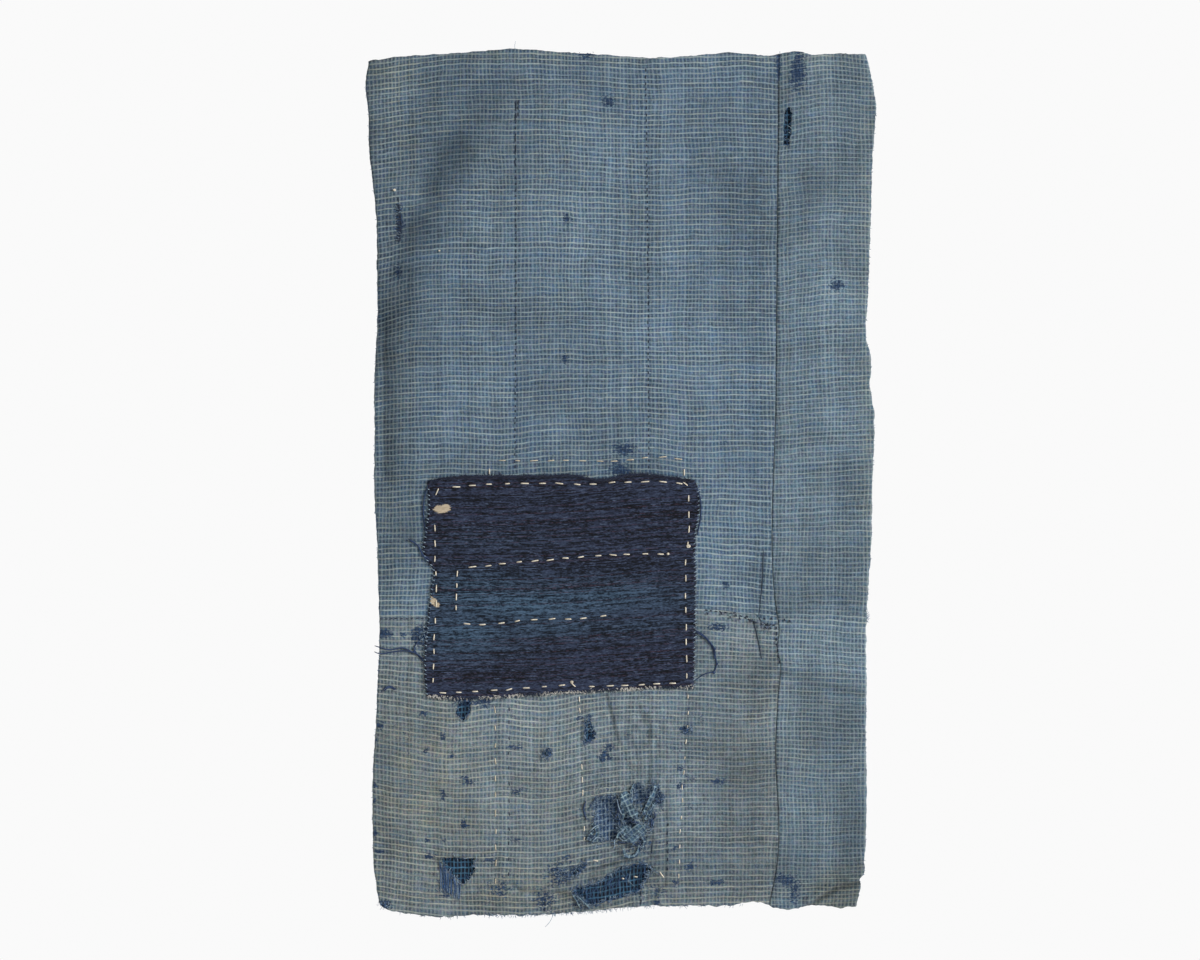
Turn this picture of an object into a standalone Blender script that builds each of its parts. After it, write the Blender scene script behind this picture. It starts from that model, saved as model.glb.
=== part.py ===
"""Boro patched cloth, hanging by its top edge: five sewn pieces as thin closed solids.

Metres, +Z up. The front faces -Y and +X is the viewer's right. The origin is on the
cloth in the middle of its top edge. Tables are in millimetres from that origin.
"""
from collections import namedtuple
from math import cos, exp, hypot, radians, sin, tau

import bmesh
import bpy
from mathutils import Vector

MM = 0.001

# Driving sizes in metres
CLOTH_THICKNESS = 1.2 * MM
LAYER_GAP = 0.4 * MM
PATCH_GAP = 0.5 * MM
SEAM_GAP = 0.3 * MM
BACK_INSET = 1.5 * MM
CELL = 17 * MM
EDGE_CELL = 6 * MM
PATCH_CELL = 16 * MM

# Nominal sizes that the cells are counted from
MAIN_WIDTH = 334 * MM
STRIP_WIDTH = 76 * MM
UPPER_HEIGHT = 464 * MM
LOWER_HEIGHT = 238 * MM
PATCH_WIDTH = 221 * MM
PATCH_HEIGHT = 175 * MM
PATCH_MIDDLE = -437 * MM

# Outline of the whole cloth. Side edges are (height, side), top and bottom (side, height).
LEFT_EDGE = [
    (-699, -200.5), (-684, -202.6), (-670, -204.6), (-647, -205.4), (-599, -205.4),
    (-547, -202.6), (-486, -199.6), (-449, -200.2), (-350, -204.6), (-302, -204.1),
    (-255, -204.2), (-207, -202.6), (-129, -203.4), (-103, -206.2), (-74, -209.0),
    (-45, -209.5), (-20, -211.6), (-5, -208.1),
]
RIGHT_EDGE = [
    (-704, 195.1), (-681, 198.2), (-665, 201.3), (-612, 202.9), (-524, 202.5),
    (-463, 202.9), (-416, 206.2), (-358, 207.6), (-281, 207.1), (-235, 203.4),
    (-207, 203.4), (-177, 204.9), (-83, 207.9), (-53, 210.4), (-43, 210.8),
    (-19, 207.1), (-8, 205.0), (1.8, 202.1),
]
TOP_EDGE = [
    (-208.1, -5.0), (-202.1, -2.6), (-193.9, -1.2), (-160.9, 2.4), (-121.3, 4.0),
    (-81.7, 6.0), (-42.1, 2.9), (-10.7, 0.8), (20.6, -1.8), (53.6, -0.7),
    (87.4, 2.4), (129.5, 1.2), (138.6, 3.4), (147.7, 3.7), (156.8, 1.6), (202.1, 1.8),
]
BOTTOM_EDGE = [
    (-200.5, -698.9), (-193.9, -705.0), (-176.5, -708.7), (-152.6, -711.1), (-121.3, -709.6),
    (-58.6, -708.7), (-10.7, -705.0), (15.7, -702.1), (93.2, -701.7), (123.0, -699.7),
    (133.7, -704.1), (147.0, -705.4), (156.4, -703.5), (178.2, -703.8), (190.6, -705.4),
    (195.1, -704.3),
]

# Seams. The side seam is (height, side), the cross seam (side, height).
SIDE_SEAM = [
    (-699, 123.0), (-688, 125.4), (-675, 127.9), (-565, 127.9), (-528, 129.5),
    (-501, 131.2), (-490, 128.7), (-477, 130.3), (-449, 127.0), (-276, 127.9),
    (-177, 128.7), (1, 130.3),
]
CROSS_SEAM = [
    (-200, -464.0), (-162, -463.6), (-17, -459.9), (65, -457.0), (107, -461.6), (130, -469.0),
    (203, -469.0),
]

# Outline of the patch, in the same two ways
PATCH_LEFT = [
    (-528, -160.5), (-497, -162.1), (-469, -159.6), (-443, -157.1), (-420, -157.1),
    (-393, -161.3), (-372, -158.7), (-355, -159.6),
]
PATCH_RIGHT = [
    (-521, 60.2), (-472, 61.0), (-430, 61.5), (-398, 61.0), (-374, 64.3), (-356, 62.7),
    (-351, 60.2),
]
PATCH_TOP = [
    (-159.6, -354.9), (-143.5, -349.1), (-101.5, -346.9), (-37.5, -346.5), (-20.6, -349.9),
    (13.0, -345.3), (36.3, -347.3), (60.2, -350.7),
]
PATCH_BOTTOM = [
    (-160.5, -528.4), (-128.7, -530.6), (-98.2, -529.2), (-64.3, -526.8), (-14.0, -524.1),
    (28.0, -521.6), (60.2, -520.7),
]

# Main folds. Each runs from one point to another; forward is towards the viewer.
Fold = namedtuple("Fold", "name start_x start_z end_x end_z half_width forward")
FOLDS = [
    Fold("drooping corner", -178, 0, -216, -205, 50, -15),
    Fold("left edge curl", -212, -205, -210, -400, 30, -9),
    Fold("swag between hanging points", 10, 10, 0, -150, 70, 5),
    Fold("right hanging point", 90, 10, 95, -60, 45, 3),
    Fold("upper belly", -70, -200, 40, -320, 90, 4),
    Fold("strip bulge, upper", 168, -110, 172, -260, 34, 4),
    Fold("strip ridge at the cross seam", 140, -508, 205, -524, 28, 5),
    Fold("side seam groove", 128, -560, 126, -690, 30, -5),
    Fold("lower diagonal ridge", 45, -600, 85, -545, 34, 5),
    Fold("lower left belly", -130, -590, -70, -650, 60, 5),
    Fold("lower left edge", -206, -560, -206, -690, 30, -6),
    Fold("turned back corner", 204, -712, 176, -716, 28, -13),
    Fold("bottom wave", 20, -706, 60, -700, 32, 5),
]

# Tears through the front: place, half sizes and tilt in degrees
Tear = namedtuple("Tear", "name panel side height half_width half_height tilt")
TEARS = [
    Tear("heart_tear", "lower_panel", -135, -673, 13.0, 11.5, 0),
    Tear("left_window", "lower_panel", -13.5, -631, 10.0, 18.0, 4),
    Tear("right_window", "lower_panel", 22, -609, 13.0, 8.0, 0),
    Tear("lower_tear", "lower_panel", -6, -684, 30.0, 10.0, 17),
    Tear("small_hole", "lower_panel", -130.5, -541, 4.5, 7.5, 8),
    Tear("long_hole", "lower_panel", -26.5, -556, 4.5, 12.5, 3),
    Tear("strip_slit", "side_strip", 140, -58.5, 2.8, 17.5, -6),
]
TEAR_POINTS = 11
TEAR_UNEVENNESS = 0.16
TEAR_WAVES = 3
CUTTER_DEPTH = 30 * MM
WELD_DISTANCE = 0.01 * MM

# Colours as linear RGB
MATERIALS = {
    "upper_check": (0.135, 0.175, 0.215),
    "lower_check": (0.165, 0.190, 0.195),
    "strip_check": (0.145, 0.180, 0.200),
    "inner_check": (0.025, 0.060, 0.125),
    "patch_slub": (0.018, 0.022, 0.045),
}
CLOTH_ROUGHNESS = 0.95


def read_curve(table, place):
    """The smooth curve through a table of millimetres, read at a place in metres."""
    place = place / MM
    last = len(table) - 1
    if place <= table[0][0]:
        return table[0][1] * MM
    if place >= table[last][0]:
        return table[last][1] * MM
    low = max(row for row in range(last) if table[row][0] <= place)
    before, after = table[max(low - 1, 0)], table[min(low + 2, last)]
    start, end = table[low], table[low + 1]
    length = end[0] - start[0]
    start_slope = (end[1] - before[1]) / (end[0] - before[0]) * length
    end_slope = (after[1] - start[1]) / (after[0] - start[0]) * length
    t = (place - start[0]) / length
    value = (2 * t ** 3 - 3 * t ** 2 + 1) * start[1] + (t ** 3 - 2 * t ** 2 + t) * start_slope
    value += (3 * t ** 2 - 2 * t ** 3) * end[1] + (t ** 3 - t ** 2) * end_slope
    return value * MM


def fold_distance(fold, x, z):
    """Distance in millimetres from a point to a fold's line."""
    run_x, run_z = fold.end_x - fold.start_x, fold.end_z - fold.start_z
    share = ((x - fold.start_x) * run_x + (z - fold.start_z) * run_z) / (run_x ** 2 + run_z ** 2)
    share = min(max(share, 0), 1)
    return hypot(x - fold.start_x - share * run_x, z - fold.start_z - share * run_z)


def forward_at(x, z):
    """How far the folds bring a point towards the viewer, in millimetres."""
    return sum(
        fold.forward * exp(-(fold_distance(fold, x, z) / fold.half_width) ** 2) for fold in FOLDS
    )


def depth(x, z):
    """The cloth's place along Y in metres, which is 0 at the origin."""
    return (forward_at(0, 0) - forward_at(x / MM, z / MM)) * MM


def stations(length, cell, edge_cell):
    """Cell borders from 0 to 1 along a length, with a narrow cell at both ends."""
    middle = round((length - 2 * edge_cell) / cell)
    inner = [(edge_cell + (length - 2 * edge_cell) * step / middle) / length for step in range(middle + 1)]
    return [0.0] + inner + [1.0]


def mix(low, high, share):
    return low + (high - low) * share


def point_between(edges, middle_height, across, down):
    """A point between left, right, top and bottom curves, at shares from 0 to 1."""
    left, right, top, bottom = edges
    side = mix(read_curve(left, middle_height), read_curve(right, middle_height), across)
    z = mix(read_curve(top, side), read_curve(bottom, side), down)
    x = mix(read_curve(left, z), read_curve(right, z), across)
    return x, z


def cloth_point(across, down):
    """A point of the cloth. across is 0 to 1 on the panels and 1 to 2 on the strip; down is
    0 to 1 above the cross seam and 1 to 2 below it."""
    left, right = LEFT_EDGE, SIDE_SEAM
    if across > 1:
        left, right, across = SIDE_SEAM, RIGHT_EDGE, across - 1
    top, bottom = TOP_EDGE, CROSS_SEAM
    if down > 1:
        top, bottom, down = CROSS_SEAM, BOTTOM_EDGE, down - 1
    return point_between((left, right, top, bottom), -UPPER_HEIGHT, across, down)


def patch_point(across, down):
    """A point of the patch, with both shares from 0 to 1."""
    edges = (PATCH_LEFT, PATCH_RIGHT, PATCH_TOP, PATCH_BOTTOM)
    return point_between(edges, PATCH_MIDDLE, across, down)


def make_material(name):
    material = bpy.data.materials.new(name)
    material.use_nodes = True
    shader = material.node_tree.nodes["Principled BSDF"]
    shader.inputs["Base Color"].default_value = (*MATERIALS[name], 1)
    shader.inputs["Roughness"].default_value = CLOTH_ROUGHNESS
    shader.inputs["Metallic"].default_value = 0
    return material


def move_to(collection, piece):
    for other in piece.users_collection:
        other.objects.unlink(piece)
    collection.objects.link(piece)


def make_sheet(name, slot, place, columns, rows, behind, trim):
    """A thin sheet over a lattice. behind is how far it lies behind the front cloth, and trim
    draws in its left, right, top and bottom edges."""
    bpy.ops.mesh.primitive_grid_add(
        x_subdivisions=len(columns) - 1, y_subdivisions=len(rows) - 1, size=1
    )
    sheet = bpy.context.object
    sheet.name = name
    sheet.data.name = name
    last_column, last_row = len(columns) - 1, len(rows) - 1
    trim_left, trim_right, trim_top, trim_bottom = trim
    for vertex in sheet.data.vertices:
        column = round((vertex.co.x + 0.5) * last_column)
        row = round((0.5 - vertex.co.y) * last_row)
        x, z = place(columns[column], rows[row])
        x += trim_left * (column == 0) - trim_right * (column == last_column)
        z += trim_bottom * (row == last_row) - trim_top * (row == 0)
        vertex.co = Vector((x, depth(x, z) + behind, z))
    # The same diagonals in every sheet keep the layers an even distance apart
    diagonals = sheet.modifiers.new("Same diagonals", "TRIANGULATE")
    diagonals.quad_method = "FIXED"
    thickness = sheet.modifiers.new("Cloth thickness", "SOLIDIFY")
    thickness.thickness = CLOTH_THICKNESS
    thickness.offset = 0
    sheet.data.materials.append(make_material(slot))
    move_to(cloth, sheet)
    return sheet


def make_cutter(tear):
    """A ragged outline, extruded through the cloth where a tear is."""
    outline = bpy.data.curves.new(tear.name, "CURVE")
    outline.dimensions = "2D"
    outline.fill_mode = "BOTH"
    outline.extrude = CUTTER_DEPTH / 2
    spline = outline.splines.new("POLY")
    spline.points.add(TEAR_POINTS - 1)
    for number, point in enumerate(spline.points):
        turn = tau * number / TEAR_POINTS
        reach = 1 + TEAR_UNEVENNESS * sin(TEAR_WAVES * turn + tear.side)
        point.co = (
            tear.half_width * MM * reach * cos(turn), tear.half_height * MM * reach * sin(turn), 0, 1
        )
    spline.use_cyclic_u = True
    flat = bpy.data.objects.new(tear.name, outline)
    cutters.objects.link(flat)
    flat.rotation_euler = (radians(90), -radians(tear.tilt), 0)
    x, z = tear.side * MM, tear.height * MM
    flat.location = (x, depth(x, z), z)
    bpy.context.view_layer.update()
    evaluated = flat.evaluated_get(bpy.context.evaluated_depsgraph_get())
    mesh = bpy.data.meshes.new_from_object(evaluated)
    welder = bmesh.new()
    welder.from_mesh(mesh)
    bmesh.ops.remove_doubles(welder, verts=welder.verts, dist=WELD_DISTANCE)
    bmesh.ops.recalc_face_normals(welder, faces=welder.faces)
    welder.to_mesh(mesh)
    welder.free()
    cutter = bpy.data.objects.new(tear.name + "_cutter", mesh)
    cutter.matrix_world = flat.matrix_world
    bpy.data.objects.remove(flat)
    cutters.objects.link(cutter)
    cutter.hide_render = True
    cutter.display_type = "WIRE"
    return cutter


def cut_tears(panels):
    for tear in TEARS:
        cut = panels[tear.panel].modifiers.new(tear.name, "BOOLEAN")
        cut.operation = "DIFFERENCE"
        cut.object = make_cutter(tear)
        cut.solver = "EXACT"


for leftover in list(bpy.data.objects):
    bpy.data.objects.remove(leftover)

cloth = bpy.data.collections.new("boro_patched_cloth")
cutters = bpy.data.collections.new("tear_cutters")
bpy.context.scene.collection.children.link(cloth)
bpy.context.scene.collection.children.link(cutters)

main_columns = stations(MAIN_WIDTH, CELL, EDGE_CELL)
strip_columns = [1 + share for share in stations(STRIP_WIDTH, CELL, EDGE_CELL)]
upper_rows = stations(UPPER_HEIGHT, CELL, EDGE_CELL)
lower_rows = [1 + share for share in stations(LOWER_HEIGHT, CELL, EDGE_CELL)]
all_columns = main_columns + strip_columns[1:]
all_rows = upper_rows + lower_rows[1:]
half_seam = SEAM_GAP / 2

panels = {
    "upper_panel": make_sheet(
        "upper_panel", "upper_check", cloth_point, main_columns, upper_rows,
        behind=0, trim=(0, half_seam, 0, half_seam),
    ),
    "lower_panel": make_sheet(
        "lower_panel", "lower_check", cloth_point, main_columns, lower_rows,
        behind=0, trim=(0, half_seam, half_seam, 0),
    ),
    "side_strip": make_sheet(
        "side_strip", "strip_check", cloth_point, strip_columns, all_rows,
        behind=0, trim=(half_seam, 0, 0, 0),
    ),
}
make_sheet(
    "back_layer", "inner_check", cloth_point, all_columns, all_rows,
    behind=CLOTH_THICKNESS + LAYER_GAP, trim=(BACK_INSET, BACK_INSET, BACK_INSET, BACK_INSET),
)
make_sheet(
    "front_patch", "patch_slub", patch_point,
    stations(PATCH_WIDTH, PATCH_CELL, EDGE_CELL), stations(PATCH_HEIGHT, PATCH_CELL, EDGE_CELL),
    behind=-(CLOTH_THICKNESS + PATCH_GAP), trim=(0, 0, 0, 0),
)
cut_tears(panels)
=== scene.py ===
# %% [markdown]
# # Boro patched cloth
# A boro cloth is worn indigo cotton that was kept in use by sewing, patching and sewing again.
# This one hangs by its top edge. Faded, checked panels lie over a darker inner cloth, and a
# dark slub patch covers the worn middle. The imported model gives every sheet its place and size,
# so this lesson only dresses that frame: thin uneven cloth, its weave, its sewing and its tears.

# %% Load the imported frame
from collections import namedtuple
from math import cos, hypot, pi, radians, sin, tau

import bpy
import numpy as np
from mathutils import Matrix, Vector


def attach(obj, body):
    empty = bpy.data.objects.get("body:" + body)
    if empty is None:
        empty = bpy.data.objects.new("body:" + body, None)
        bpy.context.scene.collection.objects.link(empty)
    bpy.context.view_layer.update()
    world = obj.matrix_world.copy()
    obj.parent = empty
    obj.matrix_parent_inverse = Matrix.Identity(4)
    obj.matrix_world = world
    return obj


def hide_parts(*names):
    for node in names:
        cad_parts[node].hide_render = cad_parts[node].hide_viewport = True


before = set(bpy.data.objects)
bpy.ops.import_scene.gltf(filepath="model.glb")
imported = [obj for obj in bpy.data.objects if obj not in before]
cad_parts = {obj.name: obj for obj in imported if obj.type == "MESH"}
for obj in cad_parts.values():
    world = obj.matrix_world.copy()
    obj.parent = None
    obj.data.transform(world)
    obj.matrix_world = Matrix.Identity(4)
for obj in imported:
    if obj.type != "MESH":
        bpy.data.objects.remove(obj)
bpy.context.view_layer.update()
MM = 0.001
BODY = "root"
print("nodes in the frame:", sorted(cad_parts))

# %% [markdown]
# ## Camera, light and floor
# The camera looks straight at the cloth from far away, through a long lens, so the sheet shows
# as flat as it is. A raking key light from the upper right makes the shallow folds readable,
# and a pale surrounding keeps the shadows soft. The floor lies well below the hanging hem.

# %% Camera
VIEW_WIDTH = 990.0
VIEW_MIDDLE = (-17.3, -350.2)
CAMERA_DISTANCE = 2800.0
SENSOR_WIDTH = 36.0

camera_data = bpy.data.cameras.new("photo_camera")
camera_data.sensor_width = SENSOR_WIDTH
camera_data.lens = SENSOR_WIDTH * CAMERA_DISTANCE / VIEW_WIDTH
camera = bpy.data.objects.new("photo_camera", camera_data)
camera.location = Vector((VIEW_MIDDLE[0], -CAMERA_DISTANCE, VIEW_MIDDLE[1])) * MM
camera.rotation_euler = (radians(90), 0, 0)
bpy.context.scene.collection.objects.link(camera)
bpy.context.scene.camera = camera
print("lens in millimetres:", round(camera_data.lens, 1))

# %% Light, background and floor
Lamp = namedtuple("Lamp", "name x y z size watts")
LAMPS = [
    Lamp("key_light", 5.9, -3.6, 2.1, 2.6, 860),
    Lamp("fill_light", -1.2, -2.6, 0.2, 1.8, 8),
    Lamp("back_light", -4.6, 4.2, 1.6, 2.6, 520),
]
AIM = Vector((-0.02, 0, -0.36))
BACKGROUND = 0.955
SURROUNDING = 0.22
FLOOR_DROP = 1.7
FLOOR_SIZE = 5.0


def add_lamp(lamp):
    """A square area light that looks at the middle of the cloth."""
    data = bpy.data.lights.new(lamp.name, "AREA")
    data.size = lamp.size
    data.energy = lamp.watts
    thing = bpy.data.objects.new(lamp.name, data)
    thing.location = (lamp.x, lamp.y, lamp.z)
    thing.rotation_euler = (AIM - thing.location).to_track_quat("-Z", "Y").to_euler()
    bpy.context.scene.collection.objects.link(thing)


def pale_world():
    """A near-white background that lights the cloth less than it shows."""
    world = bpy.data.worlds.new("pale_studio")
    world.use_nodes = True
    tree = world.node_tree
    tree.nodes.clear()
    seen, given, mix = (tree.nodes.new(kind) for kind in
                        ("ShaderNodeBackground", "ShaderNodeBackground", "ShaderNodeMixShader"))
    seen.inputs["Color"].default_value = (BACKGROUND, BACKGROUND, BACKGROUND, 1)
    given.inputs["Color"].default_value = (SURROUNDING, SURROUNDING, SURROUNDING * 1.02, 1)
    path = tree.nodes.new("ShaderNodeLightPath")
    out = tree.nodes.new("ShaderNodeOutputWorld")
    tree.links.new(path.outputs["Is Camera Ray"], mix.inputs[0])
    tree.links.new(given.outputs[0], mix.inputs[1])
    tree.links.new(seen.outputs[0], mix.inputs[2])
    tree.links.new(mix.outputs[0], out.inputs["Surface"])
    return world


for lamp in LAMPS:
    add_lamp(lamp)
bpy.context.scene.world = pale_world()
bpy.context.scene.view_settings.view_transform = "Standard"

bpy.ops.mesh.primitive_plane_add(size=FLOOR_SIZE, location=(0, 0, -FLOOR_DROP))
floor = bpy.context.object
floor.name = "pale_floor"
floor_paint = bpy.data.materials.new("pale_floor")
floor_paint.use_nodes = True
floor_shader = floor_paint.node_tree.nodes["Principled BSDF"]
floor_shader.inputs["Base Color"].default_value = (0.8, 0.8, 0.8, 1)
floor_shader.inputs["Roughness"].default_value = 0.9
floor.data.materials.append(floor_paint)

# %% [markdown]
# ## Outlines and folds
# The cloth's edges are short tables of millimetres, measured from the origin on its top edge,
# and a smooth curve runs through each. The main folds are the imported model's own. A fold is a
# line with a soft bump or trough along it, so a few rows describe how the cloth hangs.

# %% Curves through short tables
def read_curve(table, places):
    """The smooth curve through a table's rows, read at an array of places."""
    knots, values = np.array(table, float).T
    slopes = np.gradient(values, knots)
    places = np.clip(places, knots[0], knots[-1])
    low = np.clip(np.searchsorted(knots, places, side="right") - 1, 0, len(knots) - 2)
    length = knots[low + 1] - knots[low]
    t = (places - knots[low]) / length
    start = (2 * t ** 3 - 3 * t ** 2 + 1) * values[low] + (t ** 3 - 2 * t ** 2 + t) * slopes[low] * length
    end = (3 * t ** 2 - 2 * t ** 3) * values[low + 1] + (t ** 3 - t ** 2) * slopes[low + 1] * length
    return start + end


# Side edges are (height, side), the others (side, height)
LEFT_EDGE = [
    (-699, -200.5), (-692, -201.6), (-684, -202.6), (-670, -204.6), (-647, -205.4), (-599, -205.4),
    (-547, -202.6), (-520, -201.1), (-486, -199.6), (-449, -200.2), (-400, -202.1), (-350, -204.6),
    (-302, -204.1), (-277, -204.6), (-255, -204.2), (-207, -202.6), (-177, -202.8), (-129, -203.4),
    (-103, -206.2), (-74, -209.0), (-45, -209.5), (-20, -211.6), (-13, -210.8), (-5, -209.4),
]
RIGHT_EDGE = [
    (-704, 195.1), (-694, 196.8), (-684, 198.4), (-681, 197.0), (-677, 200.1), (-665, 201.3),
    (-644, 202.4), (-612, 202.9), (-565, 202.4), (-524, 202.5), (-463, 202.9), (-416, 206.2),
    (-358, 207.6), (-281, 207.1), (-271, 205.0), (-264, 206.2), (-242, 204.8), (-235, 202.9),
    (-207, 203.4), (-177, 204.9), (-114, 206.8), (-83, 207.9), (-53, 210.4), (-43, 210.8),
    (-19, 207.1), (-8, 205.0), (1.8, 202.1),
]
TOP_EDGE = [
    (-209.4, -9.0), (-206.0, -5.4), (-201.0, -3.2), (-193.9, -1.6), (-182.3, 0.6), (-160.9, 2.4),
    (-121.3, 4.0), (-81.7, 6.0), (-42.1, 2.9), (-10.7, 0.8), (20.6, -1.8), (53.6, -0.7),
    (87.4, 2.4), (129.5, 1.2), (138.6, 3.4), (147.7, 3.7), (156.8, 1.6), (174.9, 2.2), (202.1, 1.8),
]
BOTTOM_EDGE = [
    (-200.5, -698.9), (-193.9, -705.0), (-186.4, -707.3), (-176.5, -708.7), (-152.6, -711.1),
    (-121.3, -709.6), (-89.9, -709.9), (-58.6, -708.7), (-34.6, -707.4), (-10.7, -705.0),
    (15.7, -702.1), (61.9, -701.7), (93.2, -701.7), (123.0, -699.7), (133.7, -704.1),
    (141.9, -705.4), (152.2, -705.1), (156.4, -703.5), (168.3, -703.0), (178.2, -703.8),
    (190.6, -705.4), (195.1, -704.3),
]
SIDE_SEAM = [
    (-699, 123.0), (-688, 125.4), (-675, 127.9), (-565, 127.9), (-528, 129.5), (-501, 131.2),
    (-490, 128.7), (-477, 130.3), (-449, 127.0), (-276, 127.9), (-177, 128.7), (1, 130.3),
]
CROSS_SEAM = [
    (-200, -464.0), (-162, -463.6), (-17, -459.9), (65, -456.8), (78, -457.4), (101, -460.6),
    (112, -462.0), (116.5, -468.0), (130, -469.0), (203, -469.0),
]
PATCH_LEFT = [
    (-528, -160.5), (-497, -162.1), (-469, -159.6), (-443, -157.1), (-420, -157.1),
    (-416, -160.5), (-393, -161.3), (-372, -158.7), (-355, -159.6),
]
PATCH_RIGHT = [
    (-521, 60.2), (-472, 61.0), (-430, 61.5), (-398, 61.0), (-374, 64.3), (-356, 62.7),
    (-351, 60.2),
]
PATCH_TOP = [
    (-159.6, -351.9), (-143.5, -348.6), (-101.5, -346.9), (-64.3, -346.9), (-37.5, -346.5),
    (-20.6, -349.9), (13.0, -345.3), (36.3, -347.3), (60.2, -350.7),
]
PATCH_BOTTOM = [
    (-160.5, -528.4), (-128.7, -530.6), (-98.2, -529.2), (-64.3, -526.8), (-14.0, -524.1),
    (28.0, -521.6), (60.2, -520.7),
]
PANEL_MIDDLE = -464.0
PATCH_MIDDLE = -437.0

# %% Main folds and small creases
Fold = namedtuple("Fold", "name start_x start_z end_x end_z half_width forward")
FOLDS = [
    Fold("drooping corner", -178, 0, -216, -205, 50, -15),
    Fold("left edge curl", -212, -205, -210, -400, 30, -9),
    Fold("swag between hanging points", 10, 10, 0, -150, 70, 5),
    Fold("right hanging point", 90, 10, 95, -60, 45, 3),
    Fold("upper belly", -70, -200, 40, -320, 90, 4),
    Fold("strip bulge, upper", 168, -110, 172, -260, 34, 4),
    Fold("strip ridge at the cross seam", 140, -508, 205, -524, 28, 5),
    Fold("side seam groove", 128, -560, 126, -690, 30, -5),
    Fold("lower diagonal ridge", 45, -600, 85, -545, 34, 5),
    Fold("lower left belly", -130, -590, -70, -650, 60, 5),
    Fold("lower left edge", -206, -560, -206, -690, 30, -6),
    Fold("turned back corner", 204, -712, 176, -716, 28, -13),
    Fold("bottom wave", 20, -706, 60, -700, 32, 5),
]
CREASES = [
    Fold("trough of the corner fold", -128, -35, -180, -140, 17, -3.8),
    Fold("foot of the corner fold", -180, -140, -199, -215, 13, -2.8),
    Fold("trough by the left edge", -198, -225, -197, -345, 9, -2.2),
    Fold("lower right ridge", 122, -545, 108, -680, 20, 2.2),
    Fold("trough beside the ridge", 84, -600, 62, -690, 22, -2.0),
    Fold("strip crease, lit side", 131, -501, 203, -516, 8, 1.9),
    Fold("strip crease, shaded side", 131, -513, 203, -531, 5, -1.8),
    Fold("pull towards the seam", 60, -606, 100, -572, 9, -1.2),
    Fold("pull under the torn part", -30, -655, 40, -700, 10, -0.8),
    Fold("ruck under the holes", -20, -585, 26, -650, 9, 0.9),
    Fold("first sewn line", -87, -37, -87.4, -342, 1.7, -0.35),
    Fold("second sewn line", 20.6, -10, 23.1, -342, 1.7, -0.35),
    Fold("sewn line under the patch, left", -103.5, -539, -103.1, -684, 2.4, -0.4),
    Fold("sewn line under the patch, ladder", -92.4, -538, -92.4, -675, 1.8, -0.5),
    Fold("sewn line under the patch, middle", -34.6, -528, -30.5, -648, 2.4, -0.4),
    Fold("sewn line under the patch, right", 55.3, -527, 47.7, -680, 2.4, -0.4),
    Fold("bottom right corner fold", 154, -698.5, 176, -684.5, 2.4, 2.6),
    Fold("upper part of the bottom fold", 181, -683, 200, -678, 2.4, 2.4),
    Fold("right end of the cross seam", 98, -464, 122, -470, 5, 0.8),
]
SHARP_CREASES = [
    Fold("pressed line by the left edge", -195.5, -215, -195.5, -345, 1.3, -0.4),
    Fold("seam tuck above the cross seam", 117.6, -410, 114.6, -462, 1.5, -0.4),
    Fold("seam tuck below the cross seam", 110.0, -468, 115.5, -494, 1.8, -0.4),
    Fold("sharp crease below the patch", -11.6, -528, -6.8, -548, 1.5, -0.8),
    Fold("foot of the sharp crease", -6.8, -548, -1.8, -566, 1.5, -0.7),
    Fold("standing crease", 24.4, -552, 24.0, -598, 1.1, -0.6),
    Fold("short crease", 9.9, -555, 9.9, -569, 1.4, -0.5),
    Fold("crease under the right window", 27, -628, 25, -660, 1.6, -0.7),
    Fold("crease beside the last row", 38.5, -598, 36.5, -684, 1.4, -0.4),
    Fold("wrinkle over the lower tear", -22, -668, 6, -659, 1.8, 0.8),
    Fold("lower side of that wrinkle", -24, -672, 8, -662.5, 1.4, -0.6),
    Fold("wrinkle left of the lower tear", -42, -684, -30, -677, 1.6, 0.8),
    Fold("wrinkle under the left window", -22, -652, 2, -655, 1.5, 0.6),
    Fold("wrinkle in the hem", 14, -702, 20, -690, 1.6, 0.8),
    Fold("second wrinkle in the hem", 26, -701, 31, -688, 1.5, -0.6),
    Fold("step in the hem", -88.5, -683.5, -82.9, -689.0, 1.4, -0.6),
    Fold("level part of the step", -82.9, -689.0, -43.7, -691.0, 1.4, -0.5),
    Fold("under the turned back corner", 156, -703, 178, -688.5, 1.8, -1.7),
    Fold("under the bottom fold", 183, -687, 200, -682, 1.8, -1.6),
]


def fold_forward(folds, x, z):
    """How far a table of folds brings points towards the viewer."""
    total = np.zeros(np.shape(x))
    for fold in folds:
        run_x, run_z = fold.end_x - fold.start_x, fold.end_z - fold.start_z
        share = ((x - fold.start_x) * run_x + (z - fold.start_z) * run_z) / (run_x ** 2 + run_z ** 2)
        share = np.clip(share, 0, 1)
        away = np.hypot(x - fold.start_x - share * run_x, z - fold.start_z - share * run_z)
        total = total + fold.forward * np.exp(-(away / fold.half_width) ** 2)
    return total


def ripples(x, z, wavelength, height, seed, waves=9):
    """Uneven ripples: a few sine waves in seeded directions."""
    random = np.random.default_rng(seed)
    total = np.zeros(np.shape(x))
    for _ in range(waves):
        turn, phase = random.uniform(0, tau, 2)
        pace = tau / (wavelength * random.uniform(0.7, 1.5))
        total = total + np.sin((x * cos(turn) + z * sin(turn)) * pace + phase)
    return height * total / waves ** 0.5


CRUMPLED = [(2, -630, 44, 36), (-20, -680, 60, 24), (-135, -672, 26, 18), (15, -560, 30, 30)]


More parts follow.
